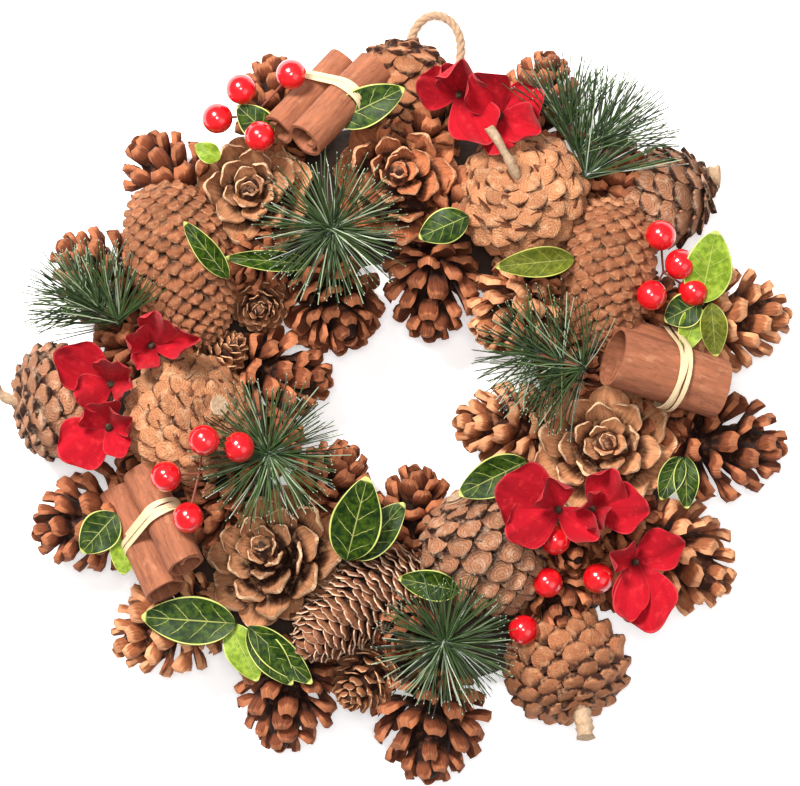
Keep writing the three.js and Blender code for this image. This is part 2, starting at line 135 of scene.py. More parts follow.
def draw_tube(bm, points, radii, sides):
    """A round tube along the points, closed at both ends. Each vert says how far along it is."""
    along = bm.verts.layers.float.get("along") or bm.verts.layers.float.new("along")
    frames = route_frames(points)
    circle = bmesh.ops.create_circle(bm, segments=sides, radius=1, matrix=frames[0])["verts"]
    bmesh.ops.scale(bm, vec=(radii[0],) * 3, space=frames[0].inverted(), verts=circle)
    verts, caps = circle, []
    travelled = 0.0
    for i in range(len(points)):
        if i:
            travelled += (points[i] - points[i - 1]).length
            edges = list({e for v in verts for e in v.link_edges if all(w in verts for w in e.verts)})
            grown = bmesh.ops.extrude_edge_only(bm, edges=edges)["geom"]
            verts = [g for g in grown if isinstance(g, bmesh.types.BMVert)]
            bmesh.ops.transform(bm, matrix=frames[i] @ frames[i - 1].inverted(), verts=verts)
            grow = radii[i] / radii[i - 1]
            bmesh.ops.scale(bm, vec=(grow, grow, 1), space=frames[i].inverted(), verts=verts)
        for v in verts:
            v[along] = travelled
        if i in (0, len(points) - 1):
            caps.append(list({e for v in verts for e in v.link_edges if all(w in verts for w in e.verts)}))
    for edges in caps:
        bmesh.ops.edgeloop_fill(bm, edges=edges)


def make_piece(name, bm, material, sharp=45, recalculate=True):
    """Turns a finished bmesh into a piece of the wreath."""
    if recalculate:
        bmesh.ops.recalc_face_normals(bm, faces=bm.faces)
    mesh = bpy.data.meshes.new(name)
    bm.to_mesh(mesh)
    bm.free()
    mesh.materials.append(material)
    mesh.shade_smooth()
    mesh.set_sharp_from_angle(angle=math.radians(sharp))
    piece = bpy.data.objects.new(name, mesh)
    bpy.context.scene.collection.objects.link(piece)
    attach(piece, "root")
    return piece


def paint(red, green, blue):
    """A paint chip's 0 to 255 values as the shader's linear colour."""
    chip = [value / 255 for value in (red, green, blue)]
    return (*[c / 12.92 if c <= 0.04 else ((c + 0.055) / 1.055) ** 2.4 for c in chip], 1)


def add_node(tree, kind, inputs=None, **settings):
    node = tree.nodes.new("ShaderNode" + kind)
    for name, value in settings.items():
        setattr(node, name, value)
    for name, value in (inputs or {}).items():
        if isinstance(value, bpy.types.NodeSocket):
            tree.links.new(value, node.inputs[name])
        else:
            node.inputs[name].default_value = value
    return node


def mixed(tree, factor, a, b, blend="MIX"):
    """Colour a goes over to colour b as the factor goes from 0 to 1."""
    mix = add_node(tree, "Mix", {0: factor, 6: a, 7: b}, data_type="RGBA", blend_type=blend)
    return mix.outputs[2]


def eased(tree, value, low, high, to_low=0.0, to_high=1.0):
    """A smooth step between low and high."""
    step = add_node(
        tree,
        "MapRange",
        {"Value": value, "From Min": low, "From Max": high, "To Min": to_low, "To Max": to_high},
        interpolation_type="SMOOTHSTEP",
    )
    return step.outputs["Result"]


def sum_of(tree, operation, a, b=0.0):
    return add_node(tree, "Math", {0: a, 1: b}, operation=operation).outputs[0]


def attribute(tree, name):
    return add_node(tree, "Attribute", attribute_name=name).outputs["Fac"]


def speckle(tree, vector, scale, detail=3.0, roughness=0.6):
    settings = {"Vector": vector, "Scale": scale, "Detail": detail, "Roughness": roughness}
    return add_node(tree, "TexNoise", settings).outputs["Fac"]


def place_vector(tree, x, y, z):
    return add_node(tree, "CombineXYZ", {"X": x, "Y": y, "Z": z}).outputs[0]


def new_material(name):
    material = bpy.data.materials.new(name)
    material.use_nodes = True
    tree = material.node_tree
    return material, tree, tree.nodes["Principled BSDF"]


def raise_surface(tree, shader, height, distance, strength=1.0):
    bump = add_node(tree, "Bump", {"Height": height, "Distance": distance, "Strength": strength})
    tree.links.new(bump.outputs["Normal"], shader.inputs["Normal"])


def fibre_group():
    """Plant fibres seen close up: fine streaks along a piece, with soft patches across them."""
    group = bpy.data.node_groups.new("plant fibres", "ShaderNodeTree")
    for name in ("Along", "Across", "Lot", "Fineness"):
        group.interface.new_socket(name, in_out="INPUT", socket_type="NodeSocketFloat")
    for name in ("Streaks", "Patches"):
        group.interface.new_socket(name, in_out="OUTPUT", socket_type="NodeSocketFloat")
    given = group.nodes.new("NodeGroupInput")
    result = group.nodes.new("NodeGroupOutput")
    crosswise = sum_of(group, "MULTIPLY", given.outputs["Across"], given.outputs["Fineness"])
    lengthwise = sum_of(group, "MULTIPLY", given.outputs["Along"], 1.5)
    apart = sum_of(group, "MULTIPLY", given.outputs["Lot"], 37.0)
    vector = place_vector(group, crosswise, lengthwise, apart)
    group.links.new(speckle(group, vector, 1.0, 4.0, 0.7), result.inputs["Streaks"])
    where = add_node(group, "TexCoord").outputs["Object"]
    group.links.new(speckle(group, where, 260.0, 4.0, 0.6), result.inputs["Patches"])
    return group


FIBRES = fibre_group()


def add_fibres(tree, along, across, lot, fineness):
    node = add_node(tree, "Group", node_tree=FIBRES)
    for name, value in (("Along", along), ("Across", across), ("Lot", lot), ("Fineness", fineness)):
        if isinstance(value, bpy.types.NodeSocket):
            tree.links.new(value, node.inputs[name])
        else:
            node.inputs[name].default_value = value
    return node.outputs["Streaks"], node.outputs["Patches"]


def jute_material():
    material, tree, shader = new_material("jute")
    where = add_node(tree, "TexCoord").outputs["Object"]
    along = sum_of(tree, "MULTIPLY", attribute(tree, "along"), 300.0)
    streaks, patches = add_fibres(tree, along, 0.0, 0.3, 9.0)
    tone = mixed(tree, streaks, paint(128, 95, 70), paint(208, 176, 144))
    tone = mixed(tree, eased(tree, patches, 0.55, 0.75), tone, paint(172, 138, 108))
    tree.links.new(tone, shader.inputs["Base Color"])
    shader.inputs["Roughness"].default_value = 0.95
    fuzz = sum_of(tree, "ADD", streaks, sum_of(tree, "MULTIPLY", speckle(tree, where, 2500.0), 0.6))
    raise_surface(tree, shader, fuzz, 0.35 * MM)
    return material


def twist_rope():
    route = smooth_route(LOOP_ROUTE, 9)
    frames = route_frames(route)
    rope = bmesh.new()
    travelled = [0.0]
    for a, b in zip(route, route[1:]):
        travelled.append(travelled[-1] + (b - a).length)
    off_centre = ROPE_THICKNESS / 2 - PLY_RADIUS
    for ply in range(3):
        line = []
        for spot, far in zip(frames, travelled):
            angle = 2 * math.pi * (far / PLY_PITCH + ply / 3)
            line.append(spot @ Vector((off_centre * math.cos(angle), off_centre * math.sin(angle), 0)))
        draw_tube(rope, line, [PLY_RADIUS] * len(line), 8)
    fray = random.Random(7)
    for _ in range(FRAYED_FIBRES):
        i = fray.randrange(8, len(route) - 9)
        aside = math.cos(fray.uniform(0, 6.28)), math.sin(fray.uniform(0, 6.28))
        out = frames[i].to_3x3() @ Vector((*aside, 0.6))
        root = route[i] + out.normalized() * 1.5 * MM
        if root.z + out.z * 1.6 * MM < 0.4 * MM:
            continue
        tip = root + out * fray.uniform(0.5, 1.5) * MM
        draw_tube(rope, [root, (root + tip) / 2 + Vector((0, 0, 0.1 * MM)), tip], [0.05 * MM] * 3, 3)
    return route, rope


loop_route, rope = twist_rope()
loop = make_piece("jute_loop", rope, jute_material())
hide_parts("hanging_loop")

# ---- surface and light ----
# A plain white light table, lit from below as well, under three soft lamps: a window on the loop's
# side that gives the shadows their direction, a weak fill across from it and one straight above.
TABLE_HALF_WIDTH = 4
TABLE_GAP = 0.2 * MM  # so that nothing lies exactly in its surface
table = bmesh.new()
bmesh.ops.create_grid(table, x_segments=1, y_segments=1, size=TABLE_HALF_WIDTH,
                      matrix=Matrix.Translation((0, 0, -TABLE_GAP)))
table_mesh = bpy.data.meshes.new("table")
table.to_mesh(table_mesh)
table.free()
table_top = bpy.data.objects.new("table", table_mesh)
bpy.context.scene.collection.objects.link(table_top)
table_paper, _, table_shader = new_material("white table")
table_shader.inputs["Base Color"].default_value = (0.92, 0.92, 0.92, 1)
table_shader.inputs["Roughness"].default_value = 0.9
table_shader.inputs["Emission Color"].default_value = (1, 1, 1, 1)
table_shader.inputs["Emission Strength"].default_value = 0.42
table_mesh.materials.append(table_paper)


def hang_lamp(name, where, size, power, tone=(1, 1, 1)):
    lamp = bpy.data.lights.new(name, "AREA")
    lamp.size, lamp.energy, lamp.color = size, power, tone
    holder = bpy.data.objects.new(name, lamp)
    holder.location = where
    holder.rotation_euler = Vector(where).to_track_quat("Z", "Y").to_euler()
    bpy.context.scene.collection.objects.link(holder)


hang_lamp("window", (-0.5, 0.7, 1.15), 0.36, 36, (1.0, 0.985, 0.96))
hang_lamp("fill", (0.9, -0.5, 1.2), 1.0, 5, (0.98, 0.99, 1.0))
hang_lamp("overhead", (0.0, 0.1, 1.9), 0.4, 14)
studio = bpy.data.worlds.new("studio")
studio.use_nodes = True
studio.node_tree.nodes["Background"].inputs["Color"].default_value = (1, 1, 1, 1)
studio.node_tree.nodes["Background"].inputs["Strength"].default_value = 0.28
bpy.context.scene.world = studio
bpy.context.scene.view_settings.view_transform = "Standard"
bpy.context.scene.view_settings.look = "None"

# ---- ring ----
# A half-round foam ring with a flat back, wound with overlapping turns of brown paper tape. Every
# cone and pick is glued or pushed into it, and little of it shows.
RING_RADIUS, RING_HALF_WIDTH, RING_HEIGHT = 92 * MM, 30 * MM, 24 * MM
TAPE_TURNS = 34
TAPE_STEP = 0.5 * MM  # each turn of tape lies on the edge of the one before
ROUND_SHARE = 0.64  # how much of the tape's way round a section goes over the round top


def tape_material():
    material, tree, shader = new_material("brown paper tape")
    where = add_node(tree, "TexCoord").outputs["Object"]
    crepe = speckle(tree, where, 900.0, 5.0, 0.7)
    stain = speckle(tree, where, 45.0, 3.0)
    # The tape is painted near black, darker than its brown paper, as painted shade in the gaps between the
    # cones where it shows.
    tone = mixed(tree, crepe, paint(34, 22, 15), paint(70, 46, 30))
    tone = mixed(tree, eased(tree, stain, 0.45, 0.7, 0, 0.5), tone, paint(26, 18, 12))
    tree.links.new(tone, shader.inputs["Base Color"])
    shader.inputs["Roughness"].default_value = 0.85
    raise_surface(tree, shader, crepe, 0.5 * MM)
    return material


def wind_ring():
    """A flat strip is rolled into the ring: its width goes round the section, its length round the ring."""
    around, section = TAPE_TURNS * 5, 22
    ring = bmesh.new()
    bmesh.ops.create_grid(ring, x_segments=around, y_segments=section, size=1)
    for v in ring.verts:
        turn, side = (v.co.x + 1) / 2, (v.co.y + 1) / 2
        tuck = TAPE_STEP * (1 - (turn * TAPE_TURNS + side) % 1)
        if side < ROUND_SHARE:  # over the round top, from the outer edge to the inner one
            a = math.pi * side / ROUND_SHARE
            reach, height = math.cos(a) * (RING_HALF_WIDTH - tuck), math.sin(a) * (RING_HEIGHT - tuck)
        else:  # back along the flat underside
            back = (side - ROUND_SHARE) / (1 - ROUND_SHARE)
            reach = (-1 + 2 * back) * (RING_HALF_WIDTH - TAPE_STEP)
            height = 0.6 * tuck * math.sin(math.pi * back)
        a = 2 * math.pi * turn
        out = RING_RADIUS + reach
        v.co = from_ring(out / MM * math.cos(a), out / MM * math.sin(a), height / MM)
    bmesh.ops.remove_doubles(ring, verts=ring.verts, dist=0.02 * MM)
    return ring


ring = make_piece("taped_ring", wind_ring(), tape_material(), sharp=30)
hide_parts("base_ring")

# ---- open pine cones of the outer and inner rows ----
# Dried pine cones with their woody scales spread wide: dark brown inside, partly the wood's own
# colour and partly painted shade deep in the cone, each scale thickened and tan at its end. Each
# is glued by its side to the ring, under and between its neighbours.
noise.seed_set(5)  # vector noise would start from the clock otherwise
GOLDEN_TURN = math.radians(137.508)


def cut_scale(width, length, thickness, end, cup=0.0, curl=0.0, root=0.3, shoulder=0.7, blunt=0.55,
              arc=0.12, boss=0.0, dome=0.0, columns=4, rows=5):
    """One cone scale, root at the origin, along +Y, its inner face up. Sizes in mm: end is how thick
    its end is, cup wraps its sides round the cone, curl bends it in, boss and dome swell its back."""
    scale = bmesh.new()
    layer = {name: scale.verts.layers.float.new(name) for name in ("across", "along", "tint")}
    bmesh.ops.create_grid(scale, x_segments=columns, y_segments=rows, size=1)

    def surface(a, b, outer):
        if b < shoulder:
            half = root + (1 - root) * math.sin(math.pi / 2 * b / shoulder)
        else:
            half = math.sqrt(1 - (1 - blunt * blunt) * ((b - shoulder) / (1 - shoulder)) ** 2)
        z = cup * a * a * b + curl * b**3
        if outer:
            swell = min(1, max(0, (b - 0.5) / 0.4))
            swell = swell * swell * (3 - 2 * swell)
            z -= thickness + (end - thickness) * swell * (1 - 0.35 * a * a)
            z -= dome * (1 - a * a) * math.sin(math.pi * min(1, b)) ** 0.8
            z -= boss * math.exp(-((a / 0.4) ** 2) - ((b - 0.72) / 0.14) ** 2)
        return Vector((a * half * width / 2, (b - arc * a * a * b) * length, z)) * MM

    for v in scale.verts:
        v[layer["across"]], v[layer["along"]] = v.co.x, ((v.co.y + 1) / 2) ** 0.75
    inner = set(scale.verts)
    bmesh.ops.solidify(scale, geom=scale.faces[:], thickness=0.1)
    for v in scale.verts:
        v.co = surface(v[layer["across"]], v[layer["along"]], v not in inner)
    bmesh.ops.recalc_face_normals(scale, faces=scale.faces)
    mesh = bpy.data.meshes.new("scale")
    scale.to_mesh(mesh)
    scale.free()
    mesh["length"] = length * MM
    return mesh


def spiral_places(length, width, count, belly, fullness, taper):
    """Where each scale meets the cone's outer shape: radius, height, slope and size, base first."""
    power = math.log(0.5) / math.log(belly)

    def radius_at(t):
        return width / 2 * math.sin(math.pi * min(max(t, 1e-4), 1 - 1e-4) ** power) ** fullness

    def size_at(t):
        if t > belly:
            return 1 - taper * ((t - belly) / (1 - belly)) ** 2
        return 1 - taper * 0.5 * ((belly - t) / belly) ** 2

    steps = 240
    sums = [0.0]
    for k in range(steps):
        t0, t1 = k / steps, (k + 1) / steps
        strip = math.hypot(radius_at(t1) - radius_at(t0), length * (t1 - t0))
        sums.append(sums[-1] + strip * radius_at((t0 + t1) / 2) / size_at((t0 + t1) / 2) ** 2)
    places = []
    k = 0
    for i in range(count):
        wanted = sums[-1] * (i + 0.5) / count
        while sums[k + 1] < wanted:
            k += 1
        t = (k + (wanted - sums[k]) / (sums[k + 1] - sums[k])) / steps
        step = 0.02
        slope = math.atan2(radius_at(t + step) - radius_at(t - step), 2 * step * length)
        places.append((radius_at(t), length * (t - 0.5), slope, size_at(t)))
    return places


def cone_place(node, at, heading, rise, length, width, stem=0):
    """The matrix of a cone's middle, +Z towards its tip. Its height is that of its CAD body."""
    h, r = math.radians(heading), math.radians(rise)
    axis = Vector((math.cos(h) * math.cos(r), math.sin(h) * math.cos(r), math.sin(r)))
    side = Vector((-math.sin(h), math.cos(h), 0))
    up = axis.cross(side)
    if rise > 45:
        guide, half = axis, length / 2
    elif rise < -45:
        guide, half = -axis, length / 2 + stem
    else:
        guide, half = up, 0.97 * width / 2
    spot = from_ring(*at)
    if isinstance(node, str):
        top = max(v.co.dot(guide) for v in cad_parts[node].data.vertices) - half * MM
        spot.z = (top - spot.x * guide.x - spot.y * guide.y) / guide.z
    else:
        spot.z = node * MM
    return Matrix.Translation(spot) @ Matrix((side, up, axis)).transposed().to_4x4()


def grow_cone(name, place, length, width, scales, count, lie, material, belly=0.42, fullness=0.5,
              taper=0.35, core=0.4, anchor=1.0, crooked=5.0, steepest=118, follow=1.0):
    """Sets scales on a spiral round a core, base first. lie is how far each stands off the cone's
    outer shape, in degrees, and follow how much it leans with that shape."""
    chance = random.Random(name)
    cone = bmesh.new()
    kinds = []
    for mesh in scales:
        before = len(cone.verts)
        cone.from_mesh(mesh)
        cone.verts.ensure_lookup_table()
        verts = cone.verts[before:]
        kinds.append((verts[:] + list({e for v in verts for e in v.link_edges}) +
                      list({f for v in verts for f in v.link_faces}), mesh["length"]))
    patterns = cone.verts[:]
    tint = cone.verts.layers.float["tint"]
    places = spiral_places(length * MM, width * MM, count, belly, fullness, taper)
    for i, (radius, height, slope, size) in enumerate(places):
        geometry, reach = kinds[chance.randrange(len(kinds))]
        turn = i * GOLDEN_TURN + math.radians(chance.gauss(0, crooked / 2))
        lean = math.degrees(slope) * follow + lie + chance.gauss(0, crooked)
        lean = math.radians(min(max(lean, 3), steepest))
        out = Vector((math.cos(turn), math.sin(turn), 0))
        along = out * math.sin(lean) + Vector((0, 0, math.cos(lean)))
        across = Vector((math.sin(turn), -math.cos(turn), 0))
        turned = Matrix((across, along, across.cross(along))).transposed().to_4x4()
        grow = size * chance.uniform(0.9, 1.08)
        put = (
            place
            @ Matrix.Translation(out * radius + Vector((0, 0, height)))
            @ turned
            @ Matrix.Rotation(math.radians(chance.gauss(0, crooked)), 4, "Y")
            @ Matrix.Scale(grow, 4)
            @ Matrix.Translation((0, -anchor * reach, 0))
        )
        copied = bmesh.ops.duplicate(cone, geom=geometry)["geom"]
        verts = [g for g in copied if isinstance(g, bmesh.types.BMVert)]
        bmesh.ops.transform(cone, matrix=put, verts=verts)
        shade = chance.random()
        for v in verts:
            v[tint] = shade
    bmesh.ops.delete(cone, geom=patterns, context="VERTS")
    # the core shows only through the gaps between the scales, in their darkest root colour as painted shade
    body = place @ Matrix.Diagonal((core * width * MM / 2, core * width * MM / 2, 0.46 * length * MM, 1))
    bmesh.ops.create_uvsphere(cone, u_segments=12, v_segments=8, radius=1, matrix=body)
    for v in cone.verts:
        v.co += (noise.noise_vector(v.co * 90) * 0.5 + noise.noise_vector(v.co * 420) * 0.22) * MM
        v.co.z = max(v.co.z, 0.1 * MM)  # nothing reaches through the surface it lies on
    return make_piece(name, cone, material)


def scale_wood_group():
    """Colour and height of a cone scale from its root (dark, partly painted shade) to its end (tan),
    streaked by its fibres.
    """
    group = bpy.data.node_groups.new("scale wood", "ShaderNodeTree")
    for name in ("Inside", "Body", "End", "Bloom"):
        group.interface.new_socket(name, in_out="INPUT", socket_type="NodeSocketColor")
    for name in ("Dark Until", "Tan From", "Rings", "Fibrous"):
        group.interface.new_socket(name, in_out="INPUT", socket_type="NodeSocketFloat")
    group.interface.new_socket("Color", in_out="OUTPUT", socket_type="NodeSocketColor")
    group.interface.new_socket("Height", in_out="OUTPUT", socket_type="NodeSocketFloat")
    given = group.nodes.new("NodeGroupInput")
    result = group.nodes.new("NodeGroupOutput")
    along, across, tint = (attribute(group, name) for name in ("along", "across", "tint"))
    streaks, patches = add_fibres(group, along, across, tint, 7.0)
    frayed = sum_of(group, "MULTIPLY", sum_of(group, "SUBTRACT", streaks, 0.5), 0.22)
    ragged = sum_of(group, "ADD", along, frayed)
    # the root is dark: partly the wood's own colour, partly painted shade where the scales overlap and deep
    # in the cone
    leave_dark = sum_of(group, "ADD", given.outputs["Dark Until"], 0.38)
    out_of_dark = eased(group, ragged, given.outputs["Dark Until"], leave_dark)
    tone = mixed(group, out_of_dark, given.outputs["Inside"], given.outputs["Body"])
    side = sum_of(group, "POWER", sum_of(group, "ABSOLUTE", across), 6.0)
    free_side = sum_of(group, "MINIMUM", 1.0, sum_of(group, "MULTIPLY", along, 1.3))
    edge = sum_of(group, "MAXIMUM", ragged, sum_of(group, "MULTIPLY", side, free_side))
    full_tan = sum_of(group, "ADD", given.outputs["Tan From"], 0.12)
    tone = mixed(group, eased(group, edge, given.outputs["Tan From"], full_tan), tone, given.outputs["End"])
    # rings round the middle of the scale's end, as on a closed cone
    off = sum_of(group, "MULTIPLY", sum_of(group, "SUBTRACT", along, 0.72), 1.9)
    aside = sum_of(group, "MULTIPLY", across, sum_of(group, "MULTIPLY", across, 0.6))
    away = sum_of(group, "SQRT", sum_of(group, "ADD", sum_of(group, "MULTIPLY", off, off), aside))
    wobble = sum_of(group, "ADD", away, sum_of(group, "MULTIPLY", patches, 0.25))
    waves = sum_of(group, "SINE", sum_of(group, "MULTIPLY", wobble, 34.0))
    rings = sum_of(group, "MULTIPLY", eased(group, waves, 0.3, 1.0), given.outputs["Rings"])
    tone = mixed(group, sum_of(group, "MULTIPLY", rings, 0.4), tone, given.outputs["Inside"])
    tone = mixed(group, eased(group, patches, 0.48, 0.7, 0.0, 0.6), tone, given.outputs["Bloom"])
    grain = speckle(group, add_node(group, "TexCoord").outputs["Object"], 1300.0, 4.0, 0.65)
    fine = add_node(group, "Mix", {0: given.outputs["Fibrous"], 2: grain, 3: streaks}).outputs[0]
    own_shade = sum_of(group, "ADD", sum_of(group, "MULTIPLY", tint, 0.34), 0.02)
    shade = sum_of(group, "ADD", sum_of(group, "MULTIPLY", fine, 1.5), own_shade)
    brightness = place_vector(group, shade, shade, shade)
    tone = mixed(group, 1.0, tone, brightness, "MULTIPLY")
    group.links.new(tone, result.inputs["Color"])
    soft_relief = sum_of(group, "MULTIPLY", patches, 0.7)
    height = sum_of(group, "ADD", sum_of(group, "MULTIPLY", fine, 1.2), soft_relief)
    height = sum_of(group, "ADD", height, sum_of(group, "MULTIPLY", grain, 0.4))
    group.links.new(sum_of(group, "SUBTRACT", height, rings), result.inputs["Height"])
    return group


SCALE_WOOD = scale_wood_group()


def cone_material(name, dark_wood_and_shade, body, end, bloom, dark_until, tan_from, rings=0.0, relief=0.6, fibrous=1.0):
    material, tree, shader = new_material(name)
    wood = add_node(tree, "Group", node_tree=SCALE_WOOD)
    settings = {"Inside": dark_wood_and_shade, "Body": body, "End": end, "Bloom": bloom, "Dark Until": dark_until,
                "Tan From": tan_from, "Rings": rings, "Fibrous": fibrous}
    for socket, value in settings.items():
        wood.inputs[socket].default_value = value
    tree.links.new(wood.outputs["Color"], shader.inputs["Base Color"])
    shader.inputs["Roughness"].default_value = 0.74
    shader.inputs["Specular IOR Level"].default_value = 0.25
    raise_surface(tree, shader, wood.outputs["Height"], relief * MM)
    return material


open_wood = cone_material(
    "open cone wood", dark_wood_and_shade=paint(62, 28, 15), body=paint(164, 96, 60), end=paint(216, 152, 108),
    bloom=paint(192, 126, 86), dark_until=0.28, tan_from=0.88,
)
dark_open_wood = cone_material(
    "dark open cone wood", dark_wood_and_shade=paint(40, 18, 10), body=paint(120, 62, 37), end=paint(172, 104, 68),
    bloom=paint(140, 80, 50), dark_until=0.34, tan_from=0.89,
)
finger_scales = [
    cut_scale(9.8, 19.5, 1.3, 3.4, cup=1.6, curl=2.2, root=0.46, shoulder=0.8, blunt=0.64, arc=0.05,
              boss=0.8),
    cut_scale(11.2, 20, 1.4, 3.0, cup=1.4, curl=1.4, root=0.42, shoulder=0.76, blunt=0.6, arc=0.07,
              boss=0.9),
    cut_scale(8.4, 19, 1.3, 3.7, cup=1.6, curl=3.0, root=0.48, shoulder=0.82, blunt=0.64, arc=0.04,
              boss=0.7),
]

# CAD body, place from the ring's centre, heading and rise of the tip, length and width. Angles are
# in degrees, headings from +X towards +Y, here and in every list below.
OUTER_OPEN = [
    ("outer_open_cone_1", (-96, 97), 130, 12, 46, 38),
    ("outer_open_cone_2", (-50, 127), 102, 10, 46, 36),
    ("outer_open_cone_3", (60, 129), 76, 12, 46, 34),
    ("outer_open_cone_4", (142, 38), 6, 12, 50, 42),
    ("outer_open_cone_5", (140, -16), -4, 22, 50, 45),
    ("outer_open_cone_6", (120, -64), -33, 24, 50, 46),
    ("outer_open_cone_7", (14, -135), -90, 20, 48, 46),
    ("outer_open_cone_8", (-46, -122), -98, 14, 48, 42),
    ("outer_open_cone_9", (-97, -92), 208, 8, 50, 42),
    ("outer_open_cone_10", (-130, -48), 196, 10, 50, 42),
    ("outer_open_cone_11", (-126, 57), 146, 12, 44, 38),
]
INNER_OPEN = [
    ("inner_open_cone_1", (-26, 42), -62, 40, 40, 40),
    ("inner_open_cone_2", (15, 51), -92, 12, 46, 39),
    ("inner_open_cone_3", (49, 42), -136, 24, 42, 38),
    ("inner_open_cone_4", (47, -8), 176, 14, 46, 36),
    ("inner_open_cone_5", (8, -45), 92, 20, 42, 36),
    ("inner_open_cone_6", (-50, 14), -8, 12, 46, 38),
]
LIGHT_ONES = {"outer_open_cone_4", "outer_open_cone_6", "outer_open_cone_9", "inner_open_cone_3",
              "inner_open_cone_4"}
for node, at, heading, rise, length, width in OUTER_OPEN + INNER_OPEN:
    wood, slot = (open_wood, "open_cone") if node in LIGHT_ONES else (dark_open_wood, "dark_cone")
    place = cone_place(node, at, heading, rise, length, width)
    cone = grow_cone(node + "_scales", place, length + 2, width * 1.14, finger_scales, 50, 72, wood,
                     taper=0.34, core=0.34, follow=0.85, crooked=9)
    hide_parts(node)
# one more inner cone, nearly hidden, sits on the ring's inner shoulder under its neighbours
grow_cone("inner_open_cone_7_scales", cone_place(26, (-27, -30), 60, 10, 34, 34), 36, 36, finger_scales,
          44, 72,
          dark_open_wood, taper=0.45, core=0.36, crooked=7)
# small dark cones fill the gaps between the rows and hide the ring: place, height, heading and rise
FILLING = [
    (30, 88, 34, 60, 40), (76, 18, 34, 10, 50), (72, -58, 33, -60, 60), (-76, -30, 34, 150, 40),
    (14, 120, 28, 80, 20), (-62, 62, 32, 200, 40), (98, -48, 30, -30, 30), (-98, 30, 30, 170, 30),
    (60, 56, 32, 20, 50), (-104, -22, 30, 190, 40), (4, -92, 34, 250, 50), (92, 100, 26, 60, 20),
    (-114, 30, 24, 150, 10), (68, -82, 30, -80, 40), (-54, -14, 22, 10, 20), (91, -72, 26, -60, 10),
    (107, 44, 20, 10, 20), (-79, -45, 28, 200, 30), (112, -4, 22, -20, 10),
]
FILLING_LENGTH, FILLING_WIDTH = 32, 34
for k, (x, y, z, heading, rise) in enumerate(FILLING, start=1):
    place = cone_place(z, (x, y), heading, rise, FILLING_LENGTH, FILLING_WIDTH)
    grow_cone(f"filling_cone_{k}_scales", place, FILLING_LENGTH, FILLING_WIDTH, finger_scales, 34, 72,
              dark_open_wood, taper=0.45, core=0.36, crooked=8)

# ---- rosettes ----
# The widest open cones, glued upright on the ring with the tip to the front: broad, thin, cupped
# scales in a few turns, like a wooden rose.
# The dark roots of their scales are partly the wood's own colour and partly painted shade between the
# layers of scales.
rose_wood = cone_material(
    "rosette wood", dark_wood_and_shade=paint(50, 25, 14), body=paint(188, 128, 88), end=paint(240, 198, 158),
    bloom=paint(206, 152, 110), dark_until=0.34, tan_from=0.92,
)
red_rose_wood = cone_material(
    "reddish rosette wood", dark_wood_and_shade=paint(54, 25, 14), body=paint(200, 118, 76), end=paint(238, 178, 134),
    bloom=paint(210, 138, 96), dark_until=0.36, tan_from=0.91,
)
pale_rose_wood = cone_material(
    "pale rosette wood", dark_wood_and_shade=paint(76, 38, 20), body=paint(208, 144, 100), end=paint(246, 204, 162),
    bloom=paint(222, 168, 122), dark_until=0.3, tan_from=0.91,
)
petal_scales = [
    cut_scale(18, 22, 0.9, 1.9, cup=2.2, curl=2.2, root=0.34, shoulder=0.62, blunt=0.5, arc=0.07,
              columns=6, rows=6),
    cut_scale(16.5, 21, 1.0, 2.1, cup=2.8, curl=3.0, root=0.36, shoulder=0.64, blunt=0.5, arc=0.06,
              columns=6, rows=6),
    cut_scale(19, 22, 0.9, 1.7, cup=1.6, curl=1.4, root=0.34, shoulder=0.6, blunt=0.5, arc=0.08,
              columns=6, rows=6),
]
# CAD body, place, heading, rise, length, width, wood, how many scales, how wide they spread
ROSETTES = [
    ("rosette_cone_1", (-61, 90), 110, 82, 36, 48, rose_wood, 42, 1.16),
    ("rosette_cone_2", (1, 97), 80, 80, 38, 52, red_rose_wood, 42, 1.16),
    ("rosette_cone_3", (87, -16), 100, 82, 40, 58, pale_rose_wood, 48, 1.12),
    ("rosette_cone_4", (-53, -62), 123, 68, 40, 56, rose_wood, 46, 1.16),
]
for node, at, heading, rise, length, width, wood, count, spread in ROSETTES:
    place = cone_place(node, at, heading, rise, length, width)
    cone = grow_cone(node + "_scales", place, length * 0.9, width * spread, petal_scales, count, 68, wood,
                     belly=0.36, fullness=0.7, taper=0.62, core=0.24, crooked=7, steepest=92,
                     follow=0.4)
    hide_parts(node)

# ---- closed cones ----
# Unopened cones, round and long: the scales lie shut like tiles, light brown and dry, each with a
# raised boss in rings of fine wrinkles. Some still have their broken stalk.
# Their scale ends are painted dark brown, and their roots dark, as painted shade in the cracks and overlaps
# between the tiles.
tile_wood = cone_material(
    "closed cone wood", dark_wood_and_shade=paint(64, 32, 18), body=paint(184, 118, 79), end=paint(58, 30, 18),
    bloom=paint(220, 162, 120), dark_until=0.14, tan_from=0.84, rings=0.12, relief=0.9, fibrous=0.4,
)
grey_tile_wood = cone_material(
    "greyish closed cone wood", dark_wood_and_shade=paint(54, 30, 20), body=paint(184, 126, 92), end=paint(54, 32, 21),
    bloom=paint(226, 186, 154), dark_until=0.14, tan_from=0.84, rings=0.4, relief=0.9, fibrous=0.4,
)
light_tile_wood = cone_material(
    "light closed cone wood", dark_wood_and_shade=paint(96, 50, 27), body=paint(200, 135, 93), end=paint(76, 42, 26),
    bloom=paint(232, 184, 142), dark_until=0.0, tan_from=0.86, rings=0.3, relief=0.9, fibrous=0.3,
)
TILE = dict(root=0.75, shoulder=0.5, rows=7)
LIFTED = dict(root=0.6, shoulder=0.56, arc=0.08, boss=0.3, rows=6)
